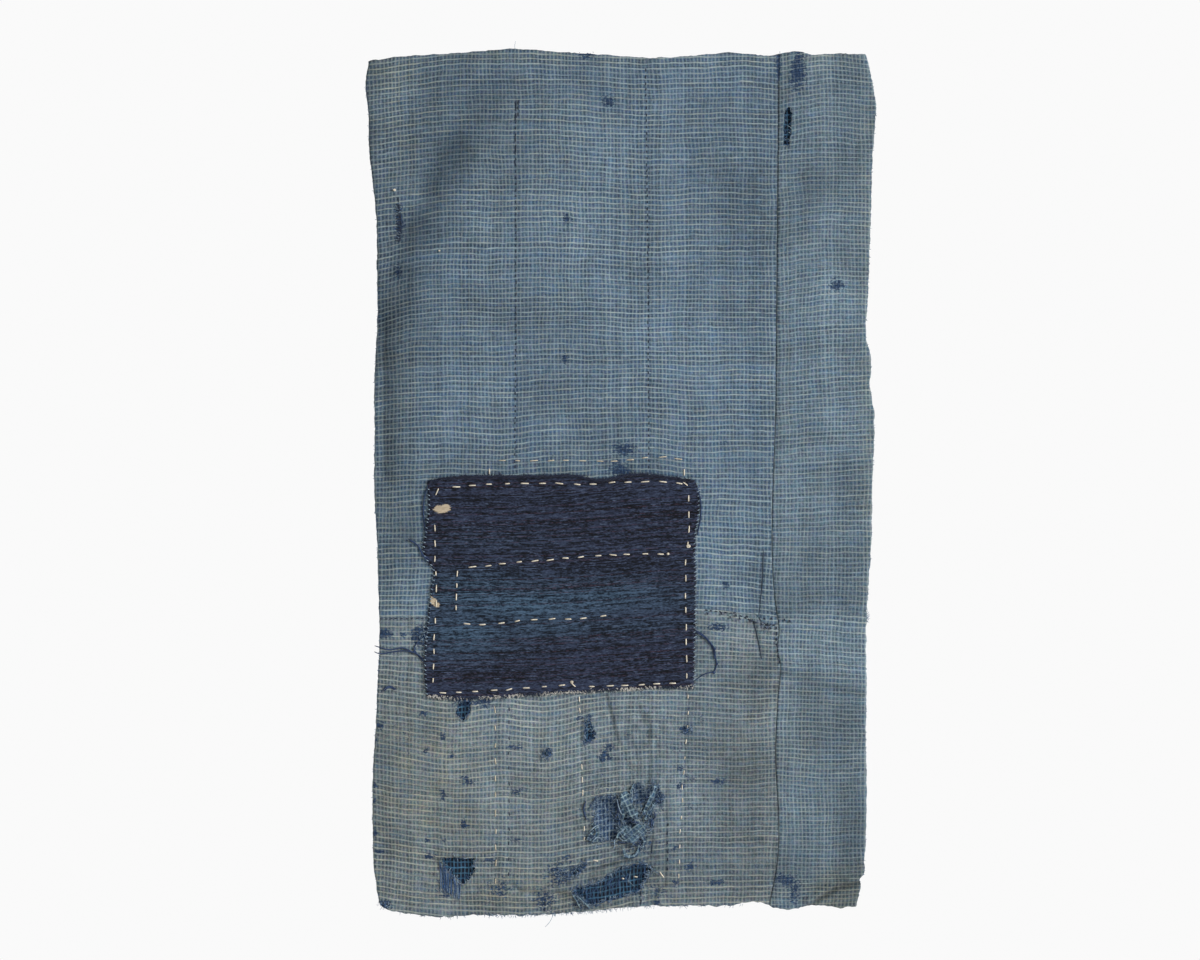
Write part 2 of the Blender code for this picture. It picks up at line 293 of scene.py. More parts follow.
def crumples(x, z):
    """Sharp little wrinkles where the cloth around the tears has lost its hold."""
    near = np.zeros(np.shape(x))
    for side, height, half_x, half_z in CRUMPLED:
        near = np.maximum(near, np.exp(-((x - side) / half_x) ** 2 - ((z - height) / half_z) ** 2))
    return near * (ripples(x, z, 13, 0.55, seed=14) + ripples(x, z, 7, 0.22, seed=15))


def seam_distance(x, z):
    """Distance across the cloth from the side seam."""
    return x - read_curve(SIDE_SEAM, z)


def seam_puckers(x, z):
    """Short gathers that the sewing draws in on both sides of the seams."""
    side = np.exp(-(seam_distance(x, z) / 9) ** 2)
    cross = np.exp(-((z - read_curve(CROSS_SEAM, x)) / 6) ** 2) * (x < 128)
    return ripples(x, z, 9, 0.22, seed=5) * np.maximum(side, cross)


MIDDLE_FORWARD = float(fold_forward(FOLDS, 0.0, 0.0))


def main_depth(x, z):
    """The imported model's own surface, along Y."""
    return MIDDLE_FORWARD - fold_forward(FOLDS, x, z)


def front_depth(x, z):
    """The front cloth's middle surface with its creases, gathers and soft unevenness."""
    small = fold_forward(CREASES + SHARP_CREASES, x, z) + seam_puckers(x, z) + crumples(x, z)
    soft = ripples(x, z, 42, 0.32, seed=2) + ripples(x, z, 15, 0.07, seed=3)
    return main_depth(x, z) - small - soft


print("depth of the main folds:", round(float(main_depth(-209.0, -60.0)), 1), "mm at the left edge")

# %% [markdown]
# ## Check lines
# The check comes from pale threads between dark blue ones, every 4 mm down the cloth and every
# 3 mm across it. An image could hold it, but here each point of the mesh stores the number of
# the line it lies at, and the material draws a line wherever that number is whole. The lines
# then bend with the cloth: a table says how far they sag between the sewn rows.

# %% Numbering the lines
WARP_PITCH = 3.06
LEVEL_PITCH = 4.3
WEFT_PITCH = [
    (-680, 4.50), (-647, 4.58), (-598, 4.40), (-548, 4.22), (-466, 4.28), (-305, 4.29),
    (-243, 4.20), (-202, 3.80), (-160, 4.35), (-127, 4.50), (-78, 4.06), (-28, 4.20),
]
STRIP_PITCH = [
    (-690, 3.5), (-647, 3.55), (-560, 3.75), (-450, 3.95), (-320, 4.05), (-200, 3.9), (-28, 3.82),
]

SAG_SIDES = (-211, -172, -141, -100, -63, -21, 20, 61, 98, 129)
PANEL_SAG = [
    (-647, (-8.5, -3.4, -0.9, 0, -0.4, -6.6, -14.3, -16.7, -16.7, -16.7)),
    (-556, (-5.4, -0.3, 4.1, 0, 3.6, -4.9, -7.9, -6.4, -4.6, -6.1)),
    (-449, (0.8, 0.4, 0, 0, 0, 0, 0, 0, 2.5, 5.5)),
    (-309, (2.4, -0.9, -1.6, 0, -2.8, -4.3, -5.5, -2.2, -3.0, -2.6)),
    (-202, (10.0, 1.6, -0.4, 0, -1.3, -0.2, 1.5, 0.4, 0.7, 1.0)),
    (-94, (7.9, 2.6, -0.4, 0, 0, 2.4, 4.7, 3.5, 2.9, 4.1)),
]
STRIP_SAG_SIDES = (130, 168, 205)
STRIP_SAG = [
    (-647, (0, 0, -1.5)), (-598, (0, 1.6, 0.9)), (-548, (0, 0.7, 1.9)), (-490, (0, 1.9, 4.5)),
    (-441, (0, 0.3, 1.0)), (-325, (0, -2.9, -5.0)), (-243, (0, -3.5, -5.6)),
    (-160, (0, -5.4, -3.8)), (-94, (0, -2.6, -1.9)), (-28, (0, -5.9, -3.1)),
]


def read_grid(sides, rows, x, z):
    """A smooth value between the rows of a table, each of which runs across the cloth."""
    heights = np.array([height for height, _ in rows], float)
    across = np.array([read_curve(list(zip(sides, values)), x) for _, values in rows])
    low = np.clip(np.searchsorted(heights, z, side="right") - 1, 0, len(rows) - 2)
    share = np.clip((z - heights[low]) / (heights[low + 1] - heights[low]), 0, 1)
    share = share * share * (3 - 2 * share)
    lower = np.take_along_axis(across, low[None], 0)[0]
    upper = np.take_along_axis(across, low[None] + 1, 0)[0]
    return lower + (upper - lower) * share


def count_lines(pitches, z):
    """How many lines lie between the top of the cloth and a height."""
    heights = np.arange(-760.0, 40.0)
    pace = np.interp(heights, *np.array(pitches, float).T)
    return np.interp(z, heights, np.cumsum(1 / pace))


def check_lines(x, z, strip=False):
    """Numbers of the upright and level lines at each point."""
    wander = 1.2 * np.sin(z / 130 + 1.0) + 0.5 * np.sin(z / 47)
    upright = (x + wander + ripples(x, z, 60, 0.6, seed=41)) / WARP_PITCH
    z = z + ripples(x, z, 46, 0.5, seed=42)
    if strip:
        level = count_lines(STRIP_PITCH, z + read_grid(STRIP_SAG_SIDES, STRIP_SAG, x, z))
    else:
        level = count_lines(WEFT_PITCH, z + read_grid(SAG_SIDES, PANEL_SAG, x, z))
    return np.stack([upright, level, np.zeros_like(x)], -1)


print("level lines in the panels:", int(count_lines(WEFT_PITCH, np.array([0.0]))[0]))

# %% [markdown]
# ## Wear, browning and painted shade
# Handling has browned the edges and the lower cloth, and has rubbed small spots down to dark
# thread. Lighter spots are faded cloth together with painted light on fold flanks in shade, and
# darker spots are painted shade where folds and rolled edges turn away from the light. Each is a
# soft oval in a short table: its place, half sizes and strength. They are added up at every
# point of the mesh, and the materials roughen their edges with noise.

# %% Soft spots
Spot = namedtuple("Spot", "x z half_x half_z strength", defaults=(1.0,))


def spots(table, x, z):
    """The strongest of a table's soft ovals at each point, from 0 to 1."""
    value = np.zeros(np.shape(x))
    for spot in table:
        away = ((x - spot.x) / spot.half_x) ** 2 + ((z - spot.z) / spot.half_z) ** 2
        value = np.maximum(value, spot.strength * np.exp(-away * 0.7))
    return value


BROWNED = [
    Spot(-200, -15, 45, 30, 0.75), Spot(-60, 4, 160, 9, 0.6), Spot(-185, -60, 30, 70, 0.4),
    Spot(165, 2, 50, 10, 0.5), Spot(170, -575, 34, 90, 0.22), Spot(206, -300, 7, 330, 0.55),
    Spot(188, -692, 36, 22, 1.0), Spot(182, -698, 22, 9, 1.6),
    Spot(-165, -610, 55, 100, 0.9), Spot(-110, -690, 130, 25, 0.8), Spot(-60, -600, 70, 80, 0.45),
    Spot(30, -695, 90, 12, 0.55), Spot(-190, -340, 22, 150, 0.35), Spot(110, -590, 30, 120, 0.35),
    Spot(150, -570, 30, 90, 0.3), Spot(-75, -80, 60, 60, 0.2),
]
# Lighter spots: faded cloth, and painted light that lifts fold flanks lying in shade.
FADED_AND_PAINTED_LIGHT = [
    Spot(-100, -160, 60, 55, 0.3), Spot(60, -300, 60, 90, 0.35), Spot(-30, -300, 80, 70, 0.3),
    Spot(168, -230, 30, 120, 0.5), Spot(165, -480, 38, 20, 0.8), Spot(-20, -560, 110, 40, 0.5),
    Spot(60, -640, 40, 60, 0.25), Spot(170, -60, 30, 60, 0.35), Spot(-130, -570, 60, 50, 0.4),
    Spot(0, -60, 80, 60, 0.2), Spot(95, -480, 25, 30, 0.3), Spot(-180, -590, 26, 80, 0.8),
    Spot(-50, -150, 40, 40, 0.45), Spot(-120, -130, 30, 40, 0.4), Spot(-186, -212, 10, 24, 0.8),
    Spot(-126, -180, 16, 16, 0.7), Spot(150, -612, 15, 45, 0.8),
]
# Painted shade: darker spots where folds, their flanks and the rolled edges turn from the light.
SHADED = [
    Spot(90, -103, 42, 62, 0.5), Spot(-56, -276, 32, 42, 0.5), Spot(169, -90, 28, 42, 0.6),
    Spot(139, -33, 13, 42, 0.7), Spot(181, -358, 22, 26, 0.6), Spot(98, -614, 26, 78, 0.9),
    Spot(61, -490, 15, 22, 0.7), Spot(65, -668, 72, 24, 0.7), Spot(-145, -92, 22, 36, 0.7),
    Spot(-108, -53, 26, 24, 0.4), Spot(-210, -72, 9, 90, 1.3), Spot(-17, -309, 60, 22, 0.35),
    Spot(-188, -126, 10, 26, 0.9), Spot(193, -645, 12, 44, 0.8), Spot(0, -335, 90, 14, 0.5),
    Spot(82, -305, 30, 32, 0.5), Spot(-60, -225, 30, 26, 0.35), Spot(172, -560, 30, 40, 0.3),
    Spot(160, -430, 30, 26, 0.3), Spot(-110, -30, 60, 20, 0.3), Spot(-208, -220, 7, 110, 1.3),
]
WORN = [
    Spot(-28, 1, 5.88, 3), Spot(-10, -38, 4.92, 4.92), Spot(-45, -135, 3, 4.92),
    Spot(-46, -250, 3, 3.96), Spot(3, -325, 9.84, 4.92), Spot(178, -189, 6.0, 5.0),
    Spot(138, -682, 4.92, 4.92), Spot(-197, -477, 4.6, 3.0, 1.5),
    Spot(-191, -478, 3.0, 2.4), Spot(-180, -478, 3.2, 2.0, 0.8), Spot(80, -472, 8.88, 3),
    Spot(-185, -177, 3, 5.88), Spot(-184, -137, 4.1, 16.5, 0.8), Spot(146, -12, 5.6, 15, 1.2),
    Spot(144, -691, 5, 12, 0.8), Spot(132, -680, 4.8, 4.8, 0.9), Spot(-113, -533, 6.96, 4.92),
    Spot(-129, -532, 9.5, 5.6), Spot(-63, -697, 9.84, 9.48, 0.7), Spot(-100, -688, 10.8, 9.2, 0.6),
    Spot(-50, -676, 11.5, 9.9, 0.8), Spot(57, -670, 5.52, 4.32, 0.7), Spot(-196.4, -701.7, 6.6, 4.0),
    Spot(86.6, -436.8, 3.2, 2.8), Spot(130.2, -8.5, 1.4, 8.5, 1.6),
    Spot(32, -449, 4.92, 4.92), Spot(-152, -466, 8.2, 16.5, 0.8), Spot(-1, -342, 9.84, 5.88),
    Spot(-165.5, -479, 6.4, 6.4, 1.8), Spot(-30, -700, 14, 5, 0.7), Spot(28, -690, 14, 6, 0.5),
    Spot(-108, -664, 7.2, 3.12, 0.6), Spot(-163.8, -542.4, 3.36, 2.64), Spot(-147.3, -562.2, 2.04, 3.84),
    Spot(-160.9, -573.8, 2.64, 1.92), Spot(-139.4, -577.9, 1.8, 1.8), Spot(-128.6, -595.6, 3.6, 2.16),
    Spot(-125.4, -599.6, 4.32, 1.92), Spot(-146.9, -608, 2.4, 2.16), Spot(-146.4, -612.4, 1.92, 2.16),
    Spot(-130, -631, 1.92, 3.6), Spot(-128.6, -635.4, 3.6, 2.16), Spot(-159.6, -648, 2.88, 1.68),
    Spot(-146, -647.2, 1.92, 1.68), Spot(-158.4, -661.2, 4.8, 1.92), Spot(-199.7, -657.9, 4.8, 1.68),
    Spot(-203.8, -602.7, 1.92, 2.64), Spot(-203.8, -615.9, 1.56, 1.92), Spot(-203.8, -643.1, 2.16, 3.84),
    Spot(-199.7, -553.2, 4.08, 3.12), Spot(-203, -565.5, 1.56, 1.8),
    Spot(-86.6, -570.5, 6, 1.92, 0.8), Spot(-85.8, -607.6, 6, 2.4, 0.8),
    Spot(-87.5, -647.2, 5.4, 1.68, 0.8), Spot(-178.6, -559.8, 6, 3.6, 0.4),
    Spot(-176.2, -574.6, 2.88, 1.68, 0.6), Spot(52.8, -555.6, 5.52, 2.64),
    Spot(47, -571.3, 3.6, 2.88, 0.5), Spot(48.7, -588.6, 3.6, 2.88, 0.8),
    Spot(57.8, -596.9, 4.08, 2.4, 0.7), Spot(49.5, -602.7, 3.6, 3.36), Spot(80, -599.4, 6, 2.28),
    Spot(57.8, -620, 5.04, 2.64, 0.5), Spot(44.6, -654.6, 3.36, 1.92), Spot(78.4, -682.7, 8.4, 1.92),
    Spot(44.6, -682.7, 3.12, 2.16), Spot(65.2, -548.2, 3.6, 2.88, 0.6), Spot(-9.9, -570.5, 3.6, 3.12),
    Spot(-12.8, -575.9, 3.84, 2.4), Spot(-15.2, -580.6, 2.88, 2.64), Spot(-10.2, -579.8, 2.4, 1.92),
    Spot(-12, -624, 18, 25, 0.45), Spot(16, -614, 16, 15, 0.45), Spot(16, -647, 13, 14, 0.45),
    Spot(-144, -684, 7, 11, 0.8), Spot(-34.5, -547.5, 2.88, 2.88, 0.7),
    Spot(9, -562, 4.08, 3.6, 0.5), Spot(30, -700, 3.6, 2.4),
    Spot(-45, -662, 3.6, 2.4, 0.8),
]
print(len(WORN), "worn spots")

# %% [markdown]
# ## Sheets of cloth
# A woven cloth is a lattice, and so is each sheet here: rows and columns of points between four
# edge curves. The last millimetre of each edge is rolled back, as a turned edge is. A tear is
# made by leaving out the faces inside a ragged outline and drawing the points around it onto
# that outline, which follows the tear far better than the lattice itself would.

# %% Lattices between four edges
Edges = namedtuple("Edges", "left right top bottom middle")
RIM = (0.0, 0.35, 0.8, 1.4)
SHEET_THICKNESS = 0.5


def mix(low, high, share):
    """A value part of the way between two others."""
    return low + (high - low) * share


def place(edges, across, down):
    """Points between four edge curves, at shares from 0 to 1."""
    side = mix(read_curve(edges.left, edges.middle), read_curve(edges.right, edges.middle), across)
    z = mix(read_curve(edges.top, side), read_curve(edges.bottom, side), down)
    return mix(read_curve(edges.left, z), read_curve(edges.right, z), across), z


def shares(length, cell):
    """Lattice lines from 0 to 1, close together at both ends, where the edges roll."""
    rim = np.array(RIM)
    inner = np.linspace(rim[-1], length - rim[-1], round((length - 2 * rim[-1]) / cell) + 1)
    return np.concatenate([rim[:-1], inner, length - rim[-2::-1]]) / length


def rolled(distance):
    """The rolled edge's quarter circle: 1 at the very edge, 0 past the rim."""
    reach = np.clip(1 - distance / RIM[-1], 0, 1)
    return 1 - np.sqrt(1 - reach ** 2)


# %% Torn outlines
def torn(outline, seed, step=1.4, raggedness=0.5):
    """An outline broken into short uneven steps, as torn threads leave it."""
    random = np.random.default_rng(seed)
    corners = np.array(outline, float)
    points = []
    for start, end in zip(corners, np.roll(corners, -1, 0)):
        pieces = max(1, round(hypot(*(end - start)) / step))
        points += [start + (end - start) * number / pieces for number in range(pieces)]
    points = np.array(points)
    return points + random.normal(0, raggedness, points.shape)


def inside(x, z, outline):
    """Which points lie inside a closed outline."""
    within = np.zeros(np.shape(x), bool)
    for (x0, z0), (x1, z1) in zip(outline, np.roll(outline, -1, 0)):
        if z0 != z1:
            within ^= ((z0 > z) != (z1 > z)) & (x < x0 + (z - z0) * (x1 - x0) / (z1 - z0))
    return within


def nearest(x, z, outline):
    """The outline's nearest point to each given point, and how far away it is."""
    run = np.roll(outline, -1, 0) - outline
    share = (x[:, None] - outline[:, 0]) * run[:, 0] + (z[:, None] - outline[:, 1]) * run[:, 1]
    share = np.clip(share / (run ** 2).sum(1), 0, 1)
    near_x, near_z = outline[:, 0] + share * run[:, 0], outline[:, 1] + share * run[:, 1]
    far = np.hypot(x[:, None] - near_x, z[:, None] - near_z)
    best = far.argmin(1)
    row = np.arange(len(x))
    return near_x[row, best], near_z[row, best], far[row, best]


TEARS = {
    "heart_tear": [
        (-149.3, -662.4), (-136.0, -662.0), (-122.9, -662.6), (-118.8, -663.8), (-122.5, -667.0),
        (-119.6, -671.1), (-122.5, -674.5), (-123.8, -677.5), (-129.9, -685.4), (-137.0, -678.0),
        (-147.3, -668.5),
    ],
    "left_window": [
        (-19.6, -611.4), (-8.0, -610.4), (-1.0, -613.5), (0.5, -626.0), (-0.5, -640.0),
        (-4.5, -649.0), (-12.0, -648.0), (-23.5, -650.5), (-25.0, -645.5), (-18.5, -641.5),
        (-23.5, -634.0), (-21.0, -624.0), (-24.8, -616.8),
    ],
    "right_window": [
        (9.1, -601.0), (15.7, -600.2), (20.4, -605.5), (28.9, -600.2), (36.3, -612.6),
        (30.5, -617.5), (19.8, -616.7), (10.7, -618.0),
    ],
    "lower_tear": [
        (-42.1, -688.5), (-20.9, -682.7), (-9.1, -674.4), (1.2, -668.7), (19.8, -666.2),
        (27.2, -671.5), (20.4, -679.4), (15.7, -688.5), (2.5, -694.2), (-13.5, -698.8),
        (-28.0, -701.7), (-35.5, -695.1),
    ],
    "side_tear": [
        (-28.9, -664.1), (-28.0, -669.5), (-33.0, -674.4), (-45.4, -679.4), (-44.5, -675.3),
        (-35.5, -669.5),
    ],
    "small_hole": [
        (-133.6, -531.0), (-136.8, -543.0), (-130.0, -549.6), (-124.4, -542.4), (-125.2, -531.5),
    ],
    "long_hole": [
        (-26.4, -544.1), (-30.2, -548.2), (-29.7, -559.4), (-31.3, -569.7), (-26.4, -566.9),
        (-20.1, -563.1), (-22.3, -555.6), (-25.2, -548.2),
    ],
    "strip_slit": [
        (136.2, -41.6), (142.0, -42.5), (140.9, -59.8), (138.6, -75.5), (133.9, -74.7),
        (134.0, -57.3),
    ],
    "star_hole": [
        (-66.0, -578.7), (-62.7, -573.0), (-57.8, -571.3), (-56.1, -577.1), (-60.2, -579.6),
    ],
    "crescent": [
        (-1.6, -621.5), (3.0, -621.8), (8.5, -627.0), (14.5, -634.5), (16.0, -639.0), (10.0, -640.5),
        (4.0, -637.5), (0.0, -632.0),
    ],
    "slit_by_the_shreds": [(22.0, -621.0), (25.5, -622.5), (27.0, -637.0), (24.0, -640.5)],
    "thin_slit": [(48.7, -559.8), (53.6, -556.1), (59.9, -555.6), (54.0, -558.9)],
    "corner_hole": [(-199.2, -700.0), (-195.5, -699.7), (-192.2, -702.2), (-193.0, -705.4)],
    "hole_by_the_patch": [
        (-168.6, -475.6), (-160.9, -474.6), (-160.9, -484.0), (-166.0, -482.0),
    ],
}
TORN = {name: torn(outline, seed) for seed, (name, outline) in enumerate(TEARS.items())}
TEAR_REACH = 9.0


def near_tears(x, z):
    """For each tear, the points close to it, with their nearest place on its outline."""
    for name, outline in TORN.items():
        low, high = outline.min(0) - TEAR_REACH, outline.max(0) + TEAR_REACH
        close = np.flatnonzero((x > low[0]) & (x < high[0]) & (z > low[1]) & (z < high[1]))
        if len(close):
            yield outline, close, nearest(x[close], z[close], outline)


print(len(TORN), "tears")


# %% Edges, faces and stored values
def edge_raggedness(amount, x, z, distance, seed):
    """Small unevenness of an edge that fades into the sheet."""
    waves = ripples(x, z, 5, 0.6, seed) + ripples(x, z, 16, 0.8, seed + 50)
    return amount * waves * np.exp(-distance / 2.5)


def quads_of(shape):
    """The lattice's faces, turned towards the viewer."""
    number = np.arange(shape[0] * shape[1]).reshape(shape)
    corners = (number[:-1, :-1], number[1:, :-1], number[1:, 1:], number[:-1, 1:])
    return np.stack([corner.ravel() for corner in corners], -1)


def mesh_object(name, points, faces, material, attributes):
    """A smooth mesh in metres, with values stored at its points."""
    mesh = bpy.data.meshes.new(name)
    mesh.from_pydata((np.asarray(points) * MM).tolist(), [], np.asarray(faces).tolist())
    for key, values in attributes.items():
        kind = "FLOAT_VECTOR" if np.ndim(values) == 2 else "FLOAT"
        store = mesh.attributes.new(key, kind, "POINT").data
        store.foreach_set("vector" if kind == "FLOAT_VECTOR" else "value",
                          np.asarray(values, np.float32).ravel())
    mesh.shade_smooth()
    thing = bpy.data.objects.new(name, mesh)
    bpy.context.scene.collection.objects.link(thing)
    mesh.materials.append(material)
    return thing


def painted_crease_shade(x, z):
    """Painted shade: dark lines where the cloth turns in at its seams and sharp creases."""
    seam = np.exp(-((seam_distance(x, z) + ripples(x, z, 8, 0.35, seed=6)) / 0.8) ** 2)
    return 1.3 * np.maximum(seam, np.clip(-1.6 * fold_forward(SHARP_CREASES, x, z), 0, 1))


def cloth_values(x, z, strip=False):
    """The values that the check materials read at each point. The fading value also holds painted light on
    shaded fold flanks, and painted shade in folds, seams and creases.
    """
    return {
        "check_lines": check_lines(x, z, strip),
        "browned": spots(BROWNED, x, z),
        "fade_and_shade": spots(FADED_AND_PAINTED_LIGHT, x, z) - spots(SHADED, x, z) - painted_crease_shade(x, z),
        "worn": spots(WORN, x, z),
    }


def thicken(piece, thickness, other_side=0):
    """Solidify gives the sheet its thickness; other_side picks its rear face's material."""
    layer = piece.modifiers.new("cloth thickness", "SOLIDIFY")
    layer.thickness = thickness * MM
    layer.offset = 0
    layer.material_offset = other_side


# %% Building a sheet
def make_sheet(name, edges, size, cell, depth, roll, material, ragged=(0.2, 0.2, 0.2, 0.2),
               strip=False, with_tears=False, inset=0.0):
    """A sheet between four edges. roll and ragged give each edge's share, as left, right,
    top and bottom."""
    width, height = size
    across, down = np.meshgrid(shares(width, cell), shares(height, cell))
    distances = (across * width, (1 - across) * width, down * height, (1 - down) * height)
    x, z = place(edges, across, down)
    for number, distance in enumerate(distances):
        uneven = edge_raggedness(ragged[number], x, z, distance, 20 + number)
        if number < 2:
            x = x + uneven + inset * (1, -1)[number] * np.exp(-distance / 6)
        else:
            z = z + uneven + inset * (-1, 1)[number - 2] * np.exp(-distance / 6)
    y = depth(x, z) + sum(amount * rolled(distance) for amount, distance in zip(roll, distances))
    faces = quads_of(x.shape)
    x, y, z = x.ravel(), y.ravel(), z.ravel()
    values = cloth_values(x, z, strip)
    if with_tears:
        torn_away = np.zeros(len(x), bool)
        for outline, close, (near_x, near_z, far) in near_tears(x, z):
            gone = inside(x[close], z[close], outline)
            torn_away[close] |= gone
            y[close] -= (0.5 + ripples(near_x, near_z, 6, 0.45, 31)) * np.exp(-far / 2.2)
            x[close[gone]], z[close[gone]] = near_x[gone], near_z[gone]
        faces = faces[~torn_away[faces].all(1)]
        used, faces = np.unique(faces, return_inverse=True)
        faces = faces.reshape(-1, 4)
        x, y, z = x[used], y[used], z[used]
        values = {key: value[used] for key, value in values.items()}
    piece = mesh_object(name, np.stack([x, y, z], -1), faces, material, values)
    print(name, "has", len(faces), "faces")
    return piece

# %% [markdown]
# ## Writing materials in code
# A material is a graph of nodes, and a small helper keeps such graphs readable: each method adds
# one node, joins what it is given, and returns the node's output. Effects that several cloths
# share, such as the check and the wear with its painted light and painted shade, are node groups
# with named inputs and outputs, so that every cloth can use them with its own colours.

# %% A helper for node graphs
class Wiring:
    """Adds nodes to a tree and joins them."""

    def __init__(self, tree):
        self.tree = tree

    def feed(self, socket, value):
        if isinstance(value, bpy.types.NodeSocket):
            self.tree.links.new(value, socket)
        else:
            socket.default_value = value

    def node(self, kind, values=(), **settings):
        made = self.tree.nodes.new("ShaderNode" + kind)
        for name, setting in settings.items():
            setattr(made, name, setting)
        for key, value in dict(values).items():
            self.feed(made.inputs[key], value)
        return made

    def math(self, operation, first, second=0.0):
        return self.node("Math", {0: first, 1: second}, operation=operation).outputs[0]

    def vector(self, operation, first, second):
        return self.node("VectorMath", {0: first, 1: second}, operation=operation).outputs[0]

    def mix(self, share, first, second, blend="MIX"):
        values = {0: share, 6: first, 7: second}
        return self.node("Mix", values, data_type="RGBA", blend_type=blend).outputs[2]

    def ramp(self, value, low, high, to_low=0.0, to_high=1.0):
        """Moves a range smoothly onto another."""
        values = {0: value, 1: low, 2: high, 3: to_low, 4: to_high}
        return self.node("MapRange", values, interpolation_type="SMOOTHSTEP").outputs[0]

    def noise(self, where, scale, detail=2.0, roughness=0.55):
        values = {"Vector": where, "Scale": scale, "Detail": detail, "Roughness": roughness}
        return self.node("TexNoise", values).outputs[0]

    def stretched(self, where, pace, detail=2.0, roughness=0.55):
        """Noise with its own pace along each axis, which draws it out into streaks."""
        return self.noise(self.vector("MULTIPLY", where, pace), 1.0, detail, roughness)

    def total(self, *parts):
        """The sum of some values, each times its own weight."""
        whole, *others = [self.math("MULTIPLY", value, weight) for value, weight in parts]
        for value in others:
            whole = self.math("ADD", whole, value)
        return whole

    def tint(self, colour, by):
        """One colour multiplied by another."""
        return self.mix(1.0, colour, by, "MULTIPLY")

    def grey(self, value):
        return self.node("CombineColor", {0: value, 1: value, 2: value}).outputs[0]

    def parts(self, vector):
        return self.node("SeparateXYZ", {0: vector}).outputs

    def chance(self, number):
        """A random value from 0 to 1 for each whole number."""
        return self.node("TexWhiteNoise", {"W": number}, noise_dimensions="1D").outputs[0]

    def group(self, tree, values=()):
        made = self.tree.nodes.new("ShaderNodeGroup")
        made.node_tree = tree
        for key, value in dict(values).items():
            self.feed(made.inputs[key], value)
        return made.outputs


def ink(red, green, blue):
    """A linear colour from ordinary screen values of 0 to 255."""
    shares = (np.array([red, green, blue]) / 255.0)
    linear = np.where(shares <= 0.04045, shares / 12.92, ((shares + 0.055) / 1.055) ** 2.4)
    return (*linear.tolist(), 1.0)


def new_group(name, inputs, outputs):
    """An empty node group with named sockets: its wiring, its inputs and its output node."""
    tree = bpy.data.node_groups.new(name, "ShaderNodeTree")
    for label, kind in inputs:
        tree.interface.new_socket(label, in_out="INPUT", socket_type="NodeSocket" + kind)
    for label, kind in outputs:
        tree.interface.new_socket(label, in_out="OUTPUT", socket_type="NodeSocket" + kind)
    wiring = Wiring(tree)
    given = tree.nodes.new("NodeGroupInput").outputs
    made = tree.nodes.new("NodeGroupOutput").inputs
    return wiring, given, made


# %% [markdown]
# ## The check weave
# Up close the cloth is about twenty threads to the centimetre each way. Every thread took the
# dye a little differently, so each gets a random shade. Pale threads make the check, stronger
# level than upright, and brightest where two cross. A little noise lets them wander.

# %% Node group: check weave
YARNS_PER_WEFT_LINE = 8
YARNS_PER_WARP_LINE = 6


def pale_line(w, number, soft, seed, weakest):
    """A soft line at every whole number, of random strength."""
    whole = w.math("ROUND", number)
    away = w.math("ABSOLUTE", w.math("SUBTRACT", number, whole))
    strength = w.ramp(w.chance(w.math("ADD", whole, seed)), 0.0, 1.0, weakest, 1.0)
    return w.math("MULTIPLY", w.ramp(away, soft[1], soft[0]), strength)


def square_side(w, number, low, high):
    """How far a point is from the lines on both sides of it, as a soft share."""
    away = w.math("ABSOLUTE", w.math("SUBTRACT", number, w.math("ROUND", number)))
    return w.ramp(away, low, high)


def yarn_shades(w, number, count, seed):
    """A random shade for each yarn between the lines, and its round back as a height."""
    yarns = w.math("MULTIPLY", number, float(count))
    whole = w.math("ROUND", yarns)
    away = w.math("ABSOLUTE", w.math("SUBTRACT", yarns, whole))
    return w.chance(w.math("ADD", whole, seed)), w.ramp(away, 0.5, 0.0)


def pale_threads(w, where, lines, given):
    """Where the pale threads show, strongest where two cross."""
    weft = pale_line(w, lines[1], (0.045, 0.18), 7.7, 0.65)
    warp = pale_line(w, lines[0], (0.06, 0.30), 3.3, 0.6)
    streaks = w.stretched(where, (110.0, 110.0, 900.0), 4.0)
    rises = w.stretched(where, (900.0, 60.0, 150.0), 4.0)
    weft = w.math("MULTIPLY", weft, w.ramp(streaks, 0.34, 0.6, 0.45, 1.15))
    warp = w.math("MULTIPLY", warp, w.ramp(rises, 0.36, 0.62, 0.55, 1.2))
    weft = w.math("MULTIPLY", weft, given["Weft"])
    warp = w.math("MULTIPLY", warp, given["Warp"])
    return w.math("SUBTRACT", w.math("ADD", weft, warp), w.math("MULTIPLY", weft, warp))


